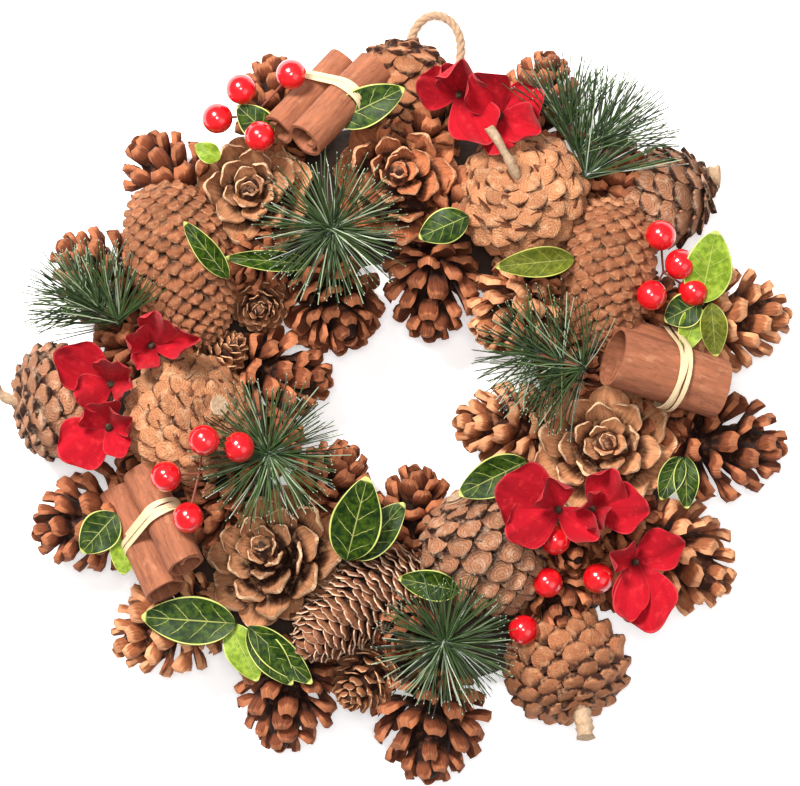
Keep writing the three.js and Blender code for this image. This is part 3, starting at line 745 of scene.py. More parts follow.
PILLOW = dict(root=0.7, shoulder=0.54, rows=6)
tiles = [
    cut_scale(12.9, 14, 1.0, 2.5, cup=0.7, blunt=0.3, arc=0.1, boss=0.8, dome=0.5, **TILE),
    cut_scale(12.0, 13.5, 1.0, 2.4, cup=0.6, blunt=0.34, arc=0.08, boss=1.0, dome=0.5, **TILE),
]
small_tiles = [
    cut_scale(11.0, 12.5, 1.0, 2.3, cup=0.6, blunt=0.32, arc=0.09, boss=1.0, dome=0.4, **TILE),
    cut_scale(10.2, 12, 1.0, 2.3, cup=0.6, blunt=0.34, arc=0.08, boss=0.8, dome=0.5, **TILE),
]
lifted_tiles = [
    cut_scale(14, 15, 0.9, 1.3, cup=1.0, blunt=0.34, **LIFTED),
    cut_scale(12.5, 14, 0.9, 1.3, cup=0.8, blunt=0.4, **LIFTED),
]
pillow_tiles = [
    cut_scale(10.9, 12, 1.4, 2.5, cup=0.6, blunt=0.42, arc=0.07, dome=0.7, boss=0.7, **PILLOW),
    cut_scale(10.1, 11.5, 1.4, 2.6, cup=0.6, blunt=0.46, arc=0.06, dome=0.8, boss=0.6, **PILLOW),
]


def stalk_material():
    material, tree, shader = new_material("broken stalk")
    where = add_node(tree, "TexCoord").outputs["Object"]
    along = sum_of(tree, "MULTIPLY", attribute(tree, "along"), 60.0)
    streaks, patches = add_fibres(tree, along, 0.5, 0.2, 1.0)
    rough = speckle(tree, where, 700.0, 5.0, 0.7)
    tone = mixed(tree, rough, paint(104, 68, 44), paint(232, 202, 166))
    tone = mixed(tree, eased(tree, patches, 0.5, 0.7, 0, 0.5), tone, paint(166, 122, 86))
    tree.links.new(tone, shader.inputs["Base Color"])
    shader.inputs["Roughness"].default_value = 0.9
    raise_surface(tree, shader, sum_of(tree, "ADD", rough, streaks), 0.6 * MM)
    return material


def grow_stalk(name, place, length, thickness, reach, aside, up):
    """The broken stalk at a cone's base, rough and bent, thicker where it breaks off. Sizes in mm."""
    chance = random.Random(name)
    stalk = bmesh.new()
    start = -length / 2 + 3
    line, radii = [], []
    for k in range(13):
        t = k / 12
        line.append(place @ (Vector((aside * t * t, up * t * t, start - (reach + 3) * t)) * MM))
        radii.append(thickness / 2 * (1.1 - 0.5 * t + 0.55 * t**3 + chance.uniform(-0.16, 0.18)) * MM)
    draw_tube(stalk, line, radii, 10)
    for v in stalk.verts:
        v.co += (noise.noise_vector(v.co * 260) * 0.7 + noise.noise_vector(v.co * 900) * 0.3) * MM
    return make_piece(name, stalk, stalk_wood)


stalk_wood = stalk_material()
# CAD body, place, heading, rise, length, width and CAD stem, then the stalk's thickness, reach and
# bends aside and up, the scales, how many, how far they lie off, and the wood
CLOSED = [
    ("outer_closed_cone_1", (2, 133), -90, 14, 42, 38, 0,
     None, tiles, 84, 13, tile_wood),
    ("outer_closed_cone_2", (108, 87), 205, 8, 52, 38, 5,
     (9, 6, 2, 1), lifted_tiles, 92, 25, grey_tile_wood),
    ("outer_closed_cone_3", (71, -107), 108, -30, 46, 48, 13,
     (7.5, 14, 2, 0), pillow_tiles, 112, 17, tile_wood),
    ("outer_closed_cone_4", (-141, 3), 4, -14, 38, 44, 9,
     (4.5, 10, 7, 2), pillow_tiles, 116, 14, grey_tile_wood),
    ("round_closed_cone_1", (53, 88), -69, -64, 42, 51, 16,
     (4.2, 20, -4, -15), tiles, 112, 10, light_tile_wood),
    ("round_closed_cone_2", (38, -61), -61, -18, 53, 48, 3,
     (8, 3, 0, 0), tiles, 104, 12, grey_tile_wood),
    ("round_closed_cone_3", (-89, -5), 202, -48, 46, 51, 2,
     (8, 2, 0, 0), small_tiles, 138, 9, light_tile_wood),
]
for node, at, heading, rise, length, width, cad_stem, stalk, cuts, count, lie, wood in CLOSED:
    place = cone_place(node, at, heading, rise, length, width, cad_stem)
    cone = grow_cone(node + "_scales", place, length, width, cuts, count, lie, wood,
                     belly=0.4, fullness=0.52, taper=0.42, core=0.9, anchor=0.6, crooked=2.5)
    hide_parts(node)
    if stalk:
        grow_stalk(node + "_stalk", place, length, *stalk)

# The dark roots of their scales are painted shade in the grooves between the scales.
long_wood = cone_material(
    "long cone wood", dark_wood_and_shade=paint(36, 18, 10), body=paint(152, 93, 61), end=paint(190, 130, 92),
    bloom=paint(188, 134, 98), dark_until=0.24, tan_from=0.88, relief=0.8, fibrous=0.5,
)
RIDGED = dict(root=0.75, shoulder=0.5, dome=0.5)
rope_tiles = [
    cut_scale(9.2, 9, 1.0, 2.1, cup=0.8, blunt=0.34, arc=0.1, boss=1.1, **RIDGED),
    cut_scale(8.2, 8.5, 1.0, 2.2, cup=0.7, blunt=0.38, arc=0.08, boss=1.3, **RIDGED),
]
for node, at, heading, rise, length, width in (
    ("long_closed_cone_1", (-90, 60), -72, 4, 68, 38),
    ("long_closed_cone_2", (88, 56), -94, 2, 61, 36),
):
    place = cone_place(node, at, heading, rise, length, width)
    cone = grow_cone(node + "_scales", place, length, width, rope_tiles, 240, 19, long_wood,
                     belly=0.42, fullness=0.42, taper=0.35, core=0.88, anchor=0.64, crooked=4)
    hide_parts(node)

# ---- spruce and larch cones ----
# A slim spruce cone with thin papery scales in tight rows, and three little larch cones whose
# wavy scales stand half open. Their thin edges have dried pale.
spruce_wood = cone_material(
    "spruce wood", dark_wood_and_shade=paint(38, 19, 11), body=paint(144, 90, 62), end=paint(236, 204, 174),
    bloom=paint(190, 134, 98), dark_until=0.32, tan_from=0.92,
)
larch_wood = cone_material(
    "larch wood", dark_wood_and_shade=paint(58, 30, 18), body=paint(158, 98, 64), end=paint(216, 166, 124),
    bloom=paint(182, 126, 88), dark_until=0.1, tan_from=0.9,
)
SHINGLE = dict(root=0.5, shoulder=0.4, blunt=0.34, columns=6)
FRILL = dict(root=0.5, shoulder=0.6, arc=0.2)
paper_scales = [
    cut_scale(12.4, 11, 0.5, 0.6, cup=1.3, curl=-1.2, arc=0.1, **SHINGLE),
    cut_scale(11.6, 10.5, 0.5, 0.6, cup=1.5, curl=-0.8, arc=0.09, **SHINGLE),
]
frill_scales = [
    cut_scale(7.2, 8.5, 0.45, 0.6, cup=-0.9, curl=1.2, blunt=0.55, **FRILL),
    cut_scale(6.6, 8, 0.45, 0.6, cup=0.8, curl=1.6, blunt=0.5, **FRILL),
]
SPRUCE_TILT = Matrix.Rotation(math.radians(-16), 4, "X")  # its tip dips between its neighbours
place = cone_place("spruce_cone", (-16, -82), 218, 12, 70, 32) @ SPRUCE_TILT
cone = grow_cone("spruce_cone_scales", place, 72, 34, paper_scales, 215, 43, spruce_wood,
                 belly=0.42,
                 fullness=0.4, taper=0.3, core=0.66, anchor=0.95, crooked=4, follow=0.7)
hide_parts("spruce_cone")
# name, CAD body or else height, place, heading, rise, length, width, how many scales, how wide they spread
for name, node, at, heading, rise, length, width, count, spread in (
    ("larch_cone_1", "larch_cone_1", (-58, 44), -80, 72, 24, 25, 74, 27),
    ("larch_cone_2", "larch_cone_2", (-14, -115), 230, 38, 32, 27, 84, 27 * 1.08),
    ("larch_cone_3", 34, (-74, 22), 40, 30, 28, 22, 70, 23),
):
    place = cone_place(node, at, heading, rise, length, width)
    cone = grow_cone(name + "_scales", place, length, spread, frill_scales, count, 66, larch_wood,
                     taper=0.5, core=0.4, crooked=7, follow=0.6)
    if node == name:
        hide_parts(node)

# ---- cinnamon bundles ----
# Quills of rolled bark laid side by side and tied round the middle with strands of raffia. The bark
# is a flat sheet that curls as it dries, tighter towards its edges.
BARK = 1.5  # mm thick
BARK_TURNS = 1.271  # how many times the sheet would go round its quill


def bark_material():
    material, tree, shader = new_material("cinnamon bark")
    along, across, tint = (attribute(tree, name) for name in ("along", "across", "tint"))
    streaks, patches = add_fibres(tree, sum_of(tree, "MULTIPLY", along, 1.6), across, tint, 30.0)
    cracks, _ = add_fibres(tree, sum_of(tree, "MULTIPLY", along, 3.0), across,
                           sum_of(tree, "ADD", tint, 5.0), 14.0)
    tone = mixed(tree, eased(tree, streaks, 0.2, 0.8), paint(118, 66, 40), paint(167, 101, 69))
    tone = mixed(tree, eased(tree, patches, 0.5, 0.75, 0, 0.6), tone, paint(160, 90, 54))
    tone = mixed(tree, eased(tree, cracks, 0.56, 0.72, 0, 0.35), tone, paint(200, 144, 108))
    tone = mixed(tree, eased(tree, cracks, 0.34, 0.44, 0.4, 0.0), tone, paint(96, 52, 32))
    tree.links.new(tone, shader.inputs["Base Color"])
    shader.inputs["Roughness"].default_value = 0.82
    raise_surface(tree, shader, sum_of(tree, "ADD", streaks, cracks), 0.3 * MM)
    return material


def lay_sheet(bm, columns, rows):
    """A flat sheet from -1 to 1 both ways, still to be shaped: what was there before it, its verts,
    and the layers that its grain is written in."""
    layers = {name: bm.verts.layers.float.get(name) or bm.verts.layers.float.new(name)
              for name in ("across", "along", "tint")}
    others = set(bm.verts)
    bmesh.ops.create_grid(bm, x_segments=columns, y_segments=rows, size=1)
    return others, [v for v in bm.verts if v not in others], layers


def thicken_sheet(bm, others, thickness, place, rolled=False):
    """Gives a shaped sheet its wall, in mm, and puts it in its place."""
    faces = [f for f in bm.faces if all(v not in others for v in f.verts)]
    if rolled:
        bmesh.ops.recalc_face_normals(bm, faces=faces)
    bmesh.ops.solidify(bm, geom=faces, thickness=thickness * MM)
    bmesh.ops.transform(bm, matrix=place, verts=[v for v in bm.verts if v not in others])


def roll_bark(bm, place, length, radius, scroll_start, scroll_end, turned, seed):
    """A sheet of bark curls up: scroll radii at its two long edges, radius in the middle. Sizes in mm."""
    columns, rows = 44, 10
    step = 2 * math.pi * radius * BARK_TURNS / columns
    line, point, angle = [], Vector((0, 0)), 0.0
    for k in range(columns + 1):
        line.append(point.copy())
        edge = abs(2 * k / columns - 1) ** 2.2
        tight = scroll_start if k < columns / 2 else scroll_end
        angle += step / (radius * (1 - edge) + tight * edge)
        point += Vector((math.cos(angle), math.sin(angle))) * step
    low = Vector((min(p.x for p in line), min(p.y for p in line)))
    high = Vector((max(p.x for p in line), max(p.y for p in line)))
    fit = 2 * (radius - BARK / 2) / max((high - low).x, (high - low).y)
    others, sheet, layers = lay_sheet(bm, columns, rows)
    turn = Matrix.Rotation(math.radians(turned), 2)
    chance = random.Random(seed)
    shift = chance.uniform(0, 50)
    for v in sheet:
        u, t = (v.co.x + 1) / 2, (v.co.y + 1) / 2
        k = round(u * columns)
        spot = turn @ ((line[k] - (low + high) / 2) * fit)
        ragged = 0.7 * noise.noise(Vector((k * 0.16, 3 * round(t), shift)))
        swell = 1 + 0.03 * noise.noise(Vector((k * 0.2, t * 2.5, shift)))
        v[layers["across"]], v[layers["along"]] = u * radius / 8, t
        v[layers["tint"]] = chance.random() * 0.02 + shift
        v.co = Vector((spot.x * swell, spot.y * swell, (t - 0.5) * length + ragged * (2 * t - 1))) * MM
    thicken_sheet(bm, others, BARK, place, rolled=True)


def raffia_material():
    material, tree, shader = new_material("raffia")
    along, across, tint = (attribute(tree, name) for name in ("along", "across", "tint"))
    streaks, patches = add_fibres(tree, along, across, tint, 6.0)
    tone = mixed(tree, streaks, paint(196, 160, 112), paint(246, 228, 190))
    tone = mixed(tree, eased(tree, patches, 0.5, 0.7, 0, 0.3), tone, paint(214, 184, 136))
    tree.links.new(tone, shader.inputs["Base Color"])
    shader.inputs["Roughness"].default_value = 0.6
    raise_surface(tree, shader, streaks, 0.25 * MM)
    return material


RAFFIA = 0.28  # mm thick


def wind_strand(bm, place, a, b, apart, lift, offset, slant, width, seed):
    """One flat strand of raffia round the two quills, drawn tight. Sizes in mm."""
    chance = random.Random(seed)
    tilt = math.acos((a - b) / apart)
    outline = []
    for k in range(17):
        t = tilt + (2 * math.pi - 2 * tilt) * k / 16
        outline.append(Vector((-apart / 2 + (a + lift) * math.cos(t), (a + lift) * math.sin(t))))
    for k in range(17):
        t = -tilt + 2 * tilt * k / 16
        outline.append(Vector((apart / 2 + (b + lift) * math.cos(t), (b + lift) * math.sin(t))))
    count = len(outline)
    others, strand, layers = lay_sheet(bm, count, 3)
    shade = chance.random()
    phase = chance.uniform(0, 6.28)
    for v in strand:
        k = round((v.co.x + 1) / 2 * count)
        spot = outline[k % count]
        around = 2 * math.pi * k / count
        narrow = 1 - 0.25 * math.sin(around * 2 + phase) ** 2
        drift = offset + slant * math.cos(around + phase)
        v[layers["across"]], v[layers["along"]], v[layers["tint"]] = v.co.y, 6 * k / count, shade
        v.co = Vector((spot.x, spot.y, drift + v.co.y * width / 2 * narrow)) * MM
    bmesh.ops.remove_doubles(bm, verts=strand, dist=0.02 * MM)
    thicken_sheet(bm, others, RAFFIA, place, rolled=True)


cinnamon_bark = bark_material()
raffia = raffia_material()
# name, place, heading, length, radii of quills a and b, where the tie sits, roll that lifts quill a,
# scroll radii of quill a, how far the tail end is tipped up, how far the innermost strand lies off
# the bark, then each strand's offset, slant and width
BUNDLES = [
    ("cinnamon_1", (-30, 129), 48, 47, 9, 8, 4, 46, (7, 3), 24, 0.5,
     [(-0.8, 0.5, 3.2), (0.9, -0.3, 3.4), (0.2, 0.9, 2.0)]),
    ("cinnamon_2", (-102, -51), -62, 50, 8, 8.8, 0, -40, (7, 3.4), -24, 0.5,
     [(-2.2, 1.2, 2.6), (-0.4, 0.4, 2.8), (1.6, -0.7, 2.8), (0.8, 1.6, 2.0)]),
    ("cinnamon_3", (111, 20), -17, 48, 12.5, 7.5, 3, 60, (5.2, 4.2), 16, 1.9,
     [(-1.6, 1.9, 2.2), (0.2, -1.7, 2.6), (1.5, 0.6, 2.0)]),
]
STRAND_STEP = 0.3  # how much further out each later strand lies
for name, at, heading, length, a, b, tie_at, roll, scrolls, tip_up, lift, strands in BUNDLES:
    apart = a + b + 0.6
    h, r = math.radians(heading), math.radians(roll)
    raised, radius = ("a", a) if roll > 0 else ("b", b)
    _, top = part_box(f"{name}_quill_{raised}")
    middle = from_ring(*at)
    middle.z = top.z - radius * MM - apart / 2 * abs(math.sin(r)) * MM
    lengthwise, sideways = Vector((math.cos(h), math.sin(h), 0)), Vector((-math.sin(h), math.cos(h), 0))
    towards_b = sideways * math.cos(r) + Vector((0, 0, -math.sin(r)))
    turned = Matrix((towards_b, lengthwise.cross(towards_b), lengthwise)).transposed().to_4x4()
    place = Matrix.Translation(middle) @ Matrix.Rotation(math.radians(tip_up), 4, sideways) @ turned
    beside = Matrix.Translation((apart / 2 * MM, 0, 0))
    quill_a, quill_b, tie = bmesh.new(), bmesh.new(), bmesh.new()
    roll_bark(quill_a, place @ beside.inverted(), length, a, *scrolls, 200, name + "a")
    roll_bark(quill_b, place @ beside, length - 3, b, b * 0.9, 3.2, 40, name + "b")
    for which, quill in (("a", quill_a), ("b", quill_b)):
        piece = make_piece(f"{name}_bark_{which}", quill, cinnamon_bark, recalculate=False)
        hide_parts(f"{name}_quill_{which}")
    at_tie = place @ Matrix.Translation((0, 0, tie_at * MM))
    for k, (offset, slant, width) in enumerate(strands):
        wind_strand(tie, at_tie, a, b, apart, lift + STRAND_STEP * k, offset, slant, width, name + str(k))
    piece = make_piece(name + "_raffia", tie, raffia, recalculate=False)
    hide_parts(name + "_tie")

# ---- berry picks ----
# Foam balls dipped in red lacquer, four to a pick, each pushed on to a thin wire wound in brown
# paper. The four wires meet where the pick goes into the ring.
def lacquer_material():
    material, tree, shader = new_material("red lacquer")
    where = add_node(tree, "TexCoord").outputs["Object"]
    patches = speckle(tree, where, 190.0, 2.0)
    tree.links.new(mixed(tree, eased(tree, patches, 0.35, 0.7), paint(196, 8, 20), paint(226, 22, 30)),
                   shader.inputs["Base Color"])
    shader.inputs["Roughness"].default_value = 0.22
    shader.inputs["Coat Weight"].default_value = 0.8
    shader.inputs["Coat Roughness"].default_value = 0.06
    raise_surface(tree, shader, speckle(tree, where, 420.0, 2.0), 0.12 * MM)
    return material


def wire_material():
    material, tree, shader = new_material("paper-wound wire")
    where = add_node(tree, "TexCoord").outputs["Object"]
    tree.links.new(mixed(tree, speckle(tree, where, 900.0), paint(92, 30, 24), paint(150, 82, 60)),
                   shader.inputs["Base Color"])
    shader.inputs["Roughness"].default_value = 0.7
    raise_surface(tree, shader, speckle(tree, where, 3000.0), 0.1 * MM)
    return material


BERRY_RADIUS = 6.4
PICK_WIRE = 1.0  # mm thick
lacquer, wound_wire = lacquer_material(), wire_material()
# CAD body, where the wires meet, then each berry from there: x, y and height
PICKS = [
    ("berry_pick_1", (-60, 123), [(-5, 10, 9), (16, 16, 11), (-15, -2, 7), (3, -10, 13)]),
    ("berry_pick_2", (-82, -27), [(3, 14, 17), (17, 11, 8), (-13, -1, 10), (-4, -18, 8)]),
    ("berry_pick_3", (112, 57), [(-2, 15, 12), (6, 3, 12), (-6, -10, 14), (12, -8, 8)]),
    ("berry_pick_4", (68, -72), [(-2, 17, 18), (-5, -1, 14), (16, 1, 17), (-15, -21, 11)]),
]
for node, at, berries in PICKS:
    root = from_ring(*at)
    root.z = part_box(node)[0].z + 1.1 * MM
    balls, wires = bmesh.new(), bmesh.new()
    for x, y, z in berries:
        centre = root + Vector((x, y, z)) * MM
        away = (centre - root).normalized()
        turned = Matrix.Translation(centre) @ away.to_track_quat("Z", "Y").to_matrix().to_4x4()
        ball = bmesh.ops.create_uvsphere(balls, u_segments=32, v_segments=20, radius=BERRY_RADIUS * MM,
                                         matrix=turned)["verts"]
        for v in ball:  # the dimple where the wire goes in
            depth = max(0, -(v.co - centre).normalized().dot(away) - 0.93) / 0.07
            v.co += away * depth * 0.9 * MM
        sag = Vector((0, 0, -1.5 * MM))
        end = centre - away * (BERRY_RADIUS - 1.5) * MM
        bends = [root, (root * 2 + centre) / 3 + sag, (root + centre * 2) / 3 + sag * 0.6, end]
        line = smooth_route(bends, 4)
        draw_tube(wires, line, [PICK_WIRE / 2 * MM] * len(line), 6)
    piece = make_piece(node + "_balls", balls, lacquer, sharp=80)
    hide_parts(node)
    make_piece(node + "_wires", wires, wound_wire)

# ---- silk florets ----
# Flocked red silk petals, cut round and pressed with veins, in florets of four round a small bead.
# The florets of a pick are wired together, and their petals have been bent by hand.
def silk_material():
    material, tree, shader = new_material("red silk")
    along, across, tint = (attribute(tree, name) for name in ("along", "across", "tint"))
    streaks, patches = add_fibres(tree, along, across, tint, 5.0)
    where = add_node(tree, "TexCoord").outputs["Object"]
    tone = mixed(tree, streaks, paint(124, 7, 20), paint(198, 24, 40))
    tone = mixed(tree, eased(tree, along, 0.0, 0.4, 0.5, 0.0), tone, paint(84, 3, 12))
    rim = sum_of(tree, "MAXIMUM", along, sum_of(tree, "ABSOLUTE", across))
    tone = mixed(tree, eased(tree, rim, 0.95, 0.99, 0, 0.35), tone, paint(216, 84, 84))
    tone = mixed(tree, eased(tree, patches, 0.5, 0.75, 0, 0.4), tone, paint(226, 56, 62))
    tree.links.new(tone, shader.inputs["Base Color"])
    shader.inputs["Roughness"].default_value = 0.85
    shader.inputs["Specular IOR Level"].default_value = 0.1
    shader.inputs["Sheen Weight"].default_value = 0.08
    shader.inputs["Sheen Roughness"].default_value = 0.4
    weave = sum_of(tree, "ADD", sum_of(tree, "MULTIPLY", streaks, 2.0), speckle(tree, where, 5000.0, 2.0))
    raise_surface(tree, shader, weave, 0.12 * MM)
    return material


SILK = 0.35  # mm thick
PETAL_FOOT = 0.16  # a petal's width at its foot, as a share of its widest
WIDEST = 0.62  # how far along it is widest


def cut_petal(bm, place, length, width, rise, cup, ruffle, seed):
    """One petal from the origin along +X, rounded, cupped and ruffled. Sizes in mm."""
    chance = random.Random(seed)
    others, petal, layers = lay_sheet(bm, 9, 8)
    phase, shade, skew = chance.uniform(0, 6.28), chance.random(), chance.uniform(-1.5, 1.5)
    for v in petal:
        t, a = (v.co.x + 1) / 2, v.co.y
        swell = math.sin(math.pi / 2 * min(1, t / WIDEST)) ** 0.9
        half = (PETAL_FOOT + (1 - PETAL_FOOT) * swell) * width / 2
        if t > WIDEST:
            half *= 1 - 0.45 * ((t - WIDEST) / (1 - WIDEST)) ** 2
        x = t * length * (1 - 0.2 * a * a * t)
        z = cup * t * t + 0.6 * cup * a * a * t + ruffle * t * math.sin(3.2 * a + phase) + skew * a * t
        z += 0.25 * ruffle * t * t * math.sin(9 * a + 2 * phase)
        v[layers["across"]], v[layers["along"]], v[layers["tint"]] = a, t, shade
        v.co = Vector((x, a * half, z)) * MM
    thicken_sheet(bm, others, SILK, place @ Matrix.Rotation(math.radians(-rise), 4, "Y"))


def soften(piece):
    smooth = piece.modifiers.new("smooth", "SUBSURF")
    smooth.levels = smooth.render_levels = 1
    return piece


silk = silk_material()
bead_wood = cone_material(
    "floret bead", dark_wood_and_shade=paint(60, 44, 34), body=paint(120, 92, 70), end=paint(170, 140, 112),
    bloom=paint(150, 130, 110), dark_until=0.2, tan_from=0.8,
)
FLORET_PICKS = [
    ("floret_pick_1", (26, 131, 44), [
        ((0, 0, 0), [(78, 50, 25, 21), (-62, 12, 27, 22), (168, 16, 22, 18), (112, 26, 18, 16)]),
        ((17, -9, 1), [(122, 24, 25, 21), (26, 10, 22, 18), (-22, 14, 20, 17), (-98, 8, 19, 16)]),
    ]),
    ("floret_pick_2", (-102, 26, 52), [
        ((0, 0, 0), [(66, 40, 25, 17), (6, 20, 24, 13), (150, 36, 17, 13), (252, 22, 15, 12)]),
        ((-17, -16, -3), [(148, 14, 29, 21), (82, 44, 22, 16), (204, 22, 20, 16), (-20, 30, 15, 12)]),
        ((-18, -34, -4), [(212, 8, 25, 23), (120, 26, 17, 19), (28, 34, 17, 14), (-62, 4, 15, 12)]),
    ]),
    ("floret_pick_3", (67, -42, 55), [
        ((0, 0, 0), [(158, 12, 31, 28), (206, 10, 27, 20), (112, 26, 18, 17), (-36, 4, 21, 14)]),
        ((14, 0, -2), [(58, 26, 25, 18), (4, 18, 27, 21), (122, 42, 15, 14), (-54, 30, 13, 13)]),
        ((32, -22, -4), [(28, 16, 25, 18), (-76, 8, 31, 26), (150, 32, 17, 15), (262, 0, 25, 15)]),
    ]),
]
PETAL_SPREAD = 1.08  # the ruffle draws a petal in, so it is cut this much wider
for node, at, florets in FLORET_PICKS:
    petals, beads = bmesh.new(), bmesh.new()
    for layer in ("across", "along", "tint"):
        beads.verts.layers.float.new(layer)
    for k, (offset, cut) in enumerate(florets):
        centre = from_ring(*at) + Vector(offset) * MM
        for j, (heading, rise, length, width) in enumerate(cut):
            foot = centre + Vector((0, 0, 0.3 * j * MM))
            place = Matrix.Translation(foot) @ Matrix.Rotation(math.radians(heading), 4, "Z")
            cut_petal(petals, place, length, width * PETAL_SPREAD, rise, 6.5, 3.6, f"{node}{k}{j}")
        on_top = Matrix.Translation(centre + Vector((0, 0, 1.6 * MM)))
        for v in bmesh.ops.create_icosphere(beads, subdivisions=2, radius=1.7 * MM, matrix=on_top)["verts"]:
            v.co += noise.noise_vector(v.co * 900) * 0.5 * MM
    piece = soften(make_piece(node + "_petals", petals, silk))
    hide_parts(node)
    make_piece(node + "_beads", beads, bead_wood)

# ---- needle sprigs ----
# Bursts of cut plastic needles, some dark green and some painted light as painted highlight along
# them, each with a pale tip painted as the highlight where its cut end catches the light. They are
# bound into a twisted wire that goes down into the ring.
def needle_material():
    material, tree, shader = new_material("needles")
    along, tint = attribute(tree, "along"), attribute(tree, "tint")
    tone = mixed(tree, tint, paint(10, 25, 9), paint(78, 102, 56))
    # pale needles: painted highlight, the sheen along some of the needles
    tone = mixed(tree, eased(tree, tint, 0.84, 0.95, 0, 0.85), tone, paint(164, 176, 146))
    tone = mixed(tree, eased(tree, along, 0.0, 0.25, 0.5, 0.0), tone, paint(22, 34, 22))
    # pale tips: painted highlight where the cut ends catch the light
    tone = mixed(tree, eased(tree, along, 0.975, 0.99), tone, paint(170, 180, 156))
    tree.links.new(tone, shader.inputs["Base Color"])
    shader.inputs["Roughness"].default_value = 0.34
    where = add_node(tree, "TexCoord").outputs["Object"]
    raise_surface(tree, shader, speckle(tree, where, 2200.0), 0.05 * MM)
    return material


NEEDLE_GIRTH = 18  # mm for each unit of the thickness that cut_needle gives


def cut_needle(bow):
    """One thin needle of unit length along +X."""
    needle = bmesh.new()
    layers = [needle.verts.layers.float.new(name) for name in ("along", "tint")]
    line = [Vector((x, 0, bow * x * (1 - x))) for x in (0, 0.35, 0.7, 0.97, 1)]
    draw_tube(needle, line, [0.015, 0.015, 0.014, 0.012, 0.008], 4)
    for v in needle.verts:
        v[layers[0]] = v.co.x
    mesh = bpy.data.meshes.new("needle")
    bmesh.ops.recalc_face_normals(needle, faces=needle.faces)
    needle.to_mesh(mesh)
    needle.free()
    return mesh


def burst_needles(name, knots):
    """Needles from each knot: centre, how many, reach, first heading, sweep, lowest and highest rise."""
    chance = random.Random(name)
    burst = bmesh.new()
    patterns = []
    for bow in (0.26, -0.2):
        before = len(burst.verts)
        burst.from_mesh(cut_needle(bow))
        burst.verts.ensure_lookup_table()
        verts = burst.verts[before:]
        patterns.append(verts[:] + list({e for v in verts for e in v.link_edges}) +
                        list({f for v in verts for f in v.link_faces}))
    spare = burst.verts[:]
    tint = burst.verts.layers.float["tint"]
    for centre, count, reach, first, sweep, low, high in knots:
        for i in range(count):
            heading = math.radians(first + sweep * (i + chance.random()) / count)
            rise = math.radians(chance.uniform(low, high))
            length = reach * chance.uniform(0.78, 1.04) * MM
            start = centre + Vector((chance.gauss(0, 0.7), chance.gauss(0, 0.7),
                                     chance.uniform(-1.5, 1.5))) * MM
            aimed = Matrix.Rotation(heading, 4, "Z") @ Matrix.Rotation(-rise, 4, "Y")
            rolled = Matrix.Rotation(chance.uniform(-3, 3), 4, "X")
            grown = Matrix.Diagonal((length, NEEDLE_GIRTH * MM, NEEDLE_GIRTH * MM, 1))
            put = Matrix.Translation(start) @ aimed @ rolled @ grown
            copied = bmesh.ops.duplicate(burst, geom=patterns[chance.randrange(2)])["geom"]
            verts = [g for g in copied if isinstance(g, bmesh.types.BMVert)]
            bmesh.ops.transform(burst, matrix=put, verts=verts)
            shade = chance.random()
            for v in verts:
                v[tint] = shade
    bmesh.ops.delete(burst, geom=spare, context="VERTS")
    return burst


needle_green = needle_material()
# CAD body, then its knots: x, y, z, needles, reach, first heading, sweep, lowest and highest rise
SPRIGS = [
    ("needle_sprig_1", [(-27, 74, 60, 190, 33, 0, 360, -8, 38)]),
    ("needle_sprig_2", [(79, 97, 45, 60, 42, 4, 116, -4, 24), (76, 107, 47, 60, 38, 18, 118, -4, 30),
                        (84, 110, 47, 50, 36, -4, 100, -4, 26), (71, 118, 49, 46, 32, 40, 110, 0, 34)]),
    ("needle_sprig_3", [(-116, 36, 45, 90, 30, 30, 165, -4, 38), (-124, 41, 46, 90, 31, 60, 140, -6, 36),
                        (-131, 45, 46, 50, 27, 80, 140, -6, 30)]),
    ("needle_sprig_4", [(-53, -19, 57, 190, 33, 0, 360, -8, 36)]),
    ("needle_sprig_5", [(78, 17, 53, 60, 31, 60, 200, -4, 40), (68, 19, 54, 70, 33, 80, 190, -6, 36),
                        (58, 23, 54, 50, 28, 90, 170, -6, 30)]),
    ("needle_sprig_6", [(20, -97, 56, 200, 31, 0, 360, -10, 36)]),
]
for node, knots in SPRIGS:
    knots = [(from_ring(x, y, z), *rest) for x, y, z, *rest in knots]
    piece = make_piece(node + "_needles", burst_needles(node, knots), needle_green, sharp=60)
    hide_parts(node)
    twist = bmesh.new()
    foot = knots[0][0]
    line = [foot + Vector((0, 0, z)) * MM for z in (-12, -8, -4)] + [knot[0] for knot in knots]
    line.append(line[-1] + Vector((0, 0, 1.2 * MM)))
    draw_tube(twist, line, [1.0 * MM] * (len(line) - 1) + [0.7 * MM], 7)
    make_piece(node + "_wire", twist, wound_wire)

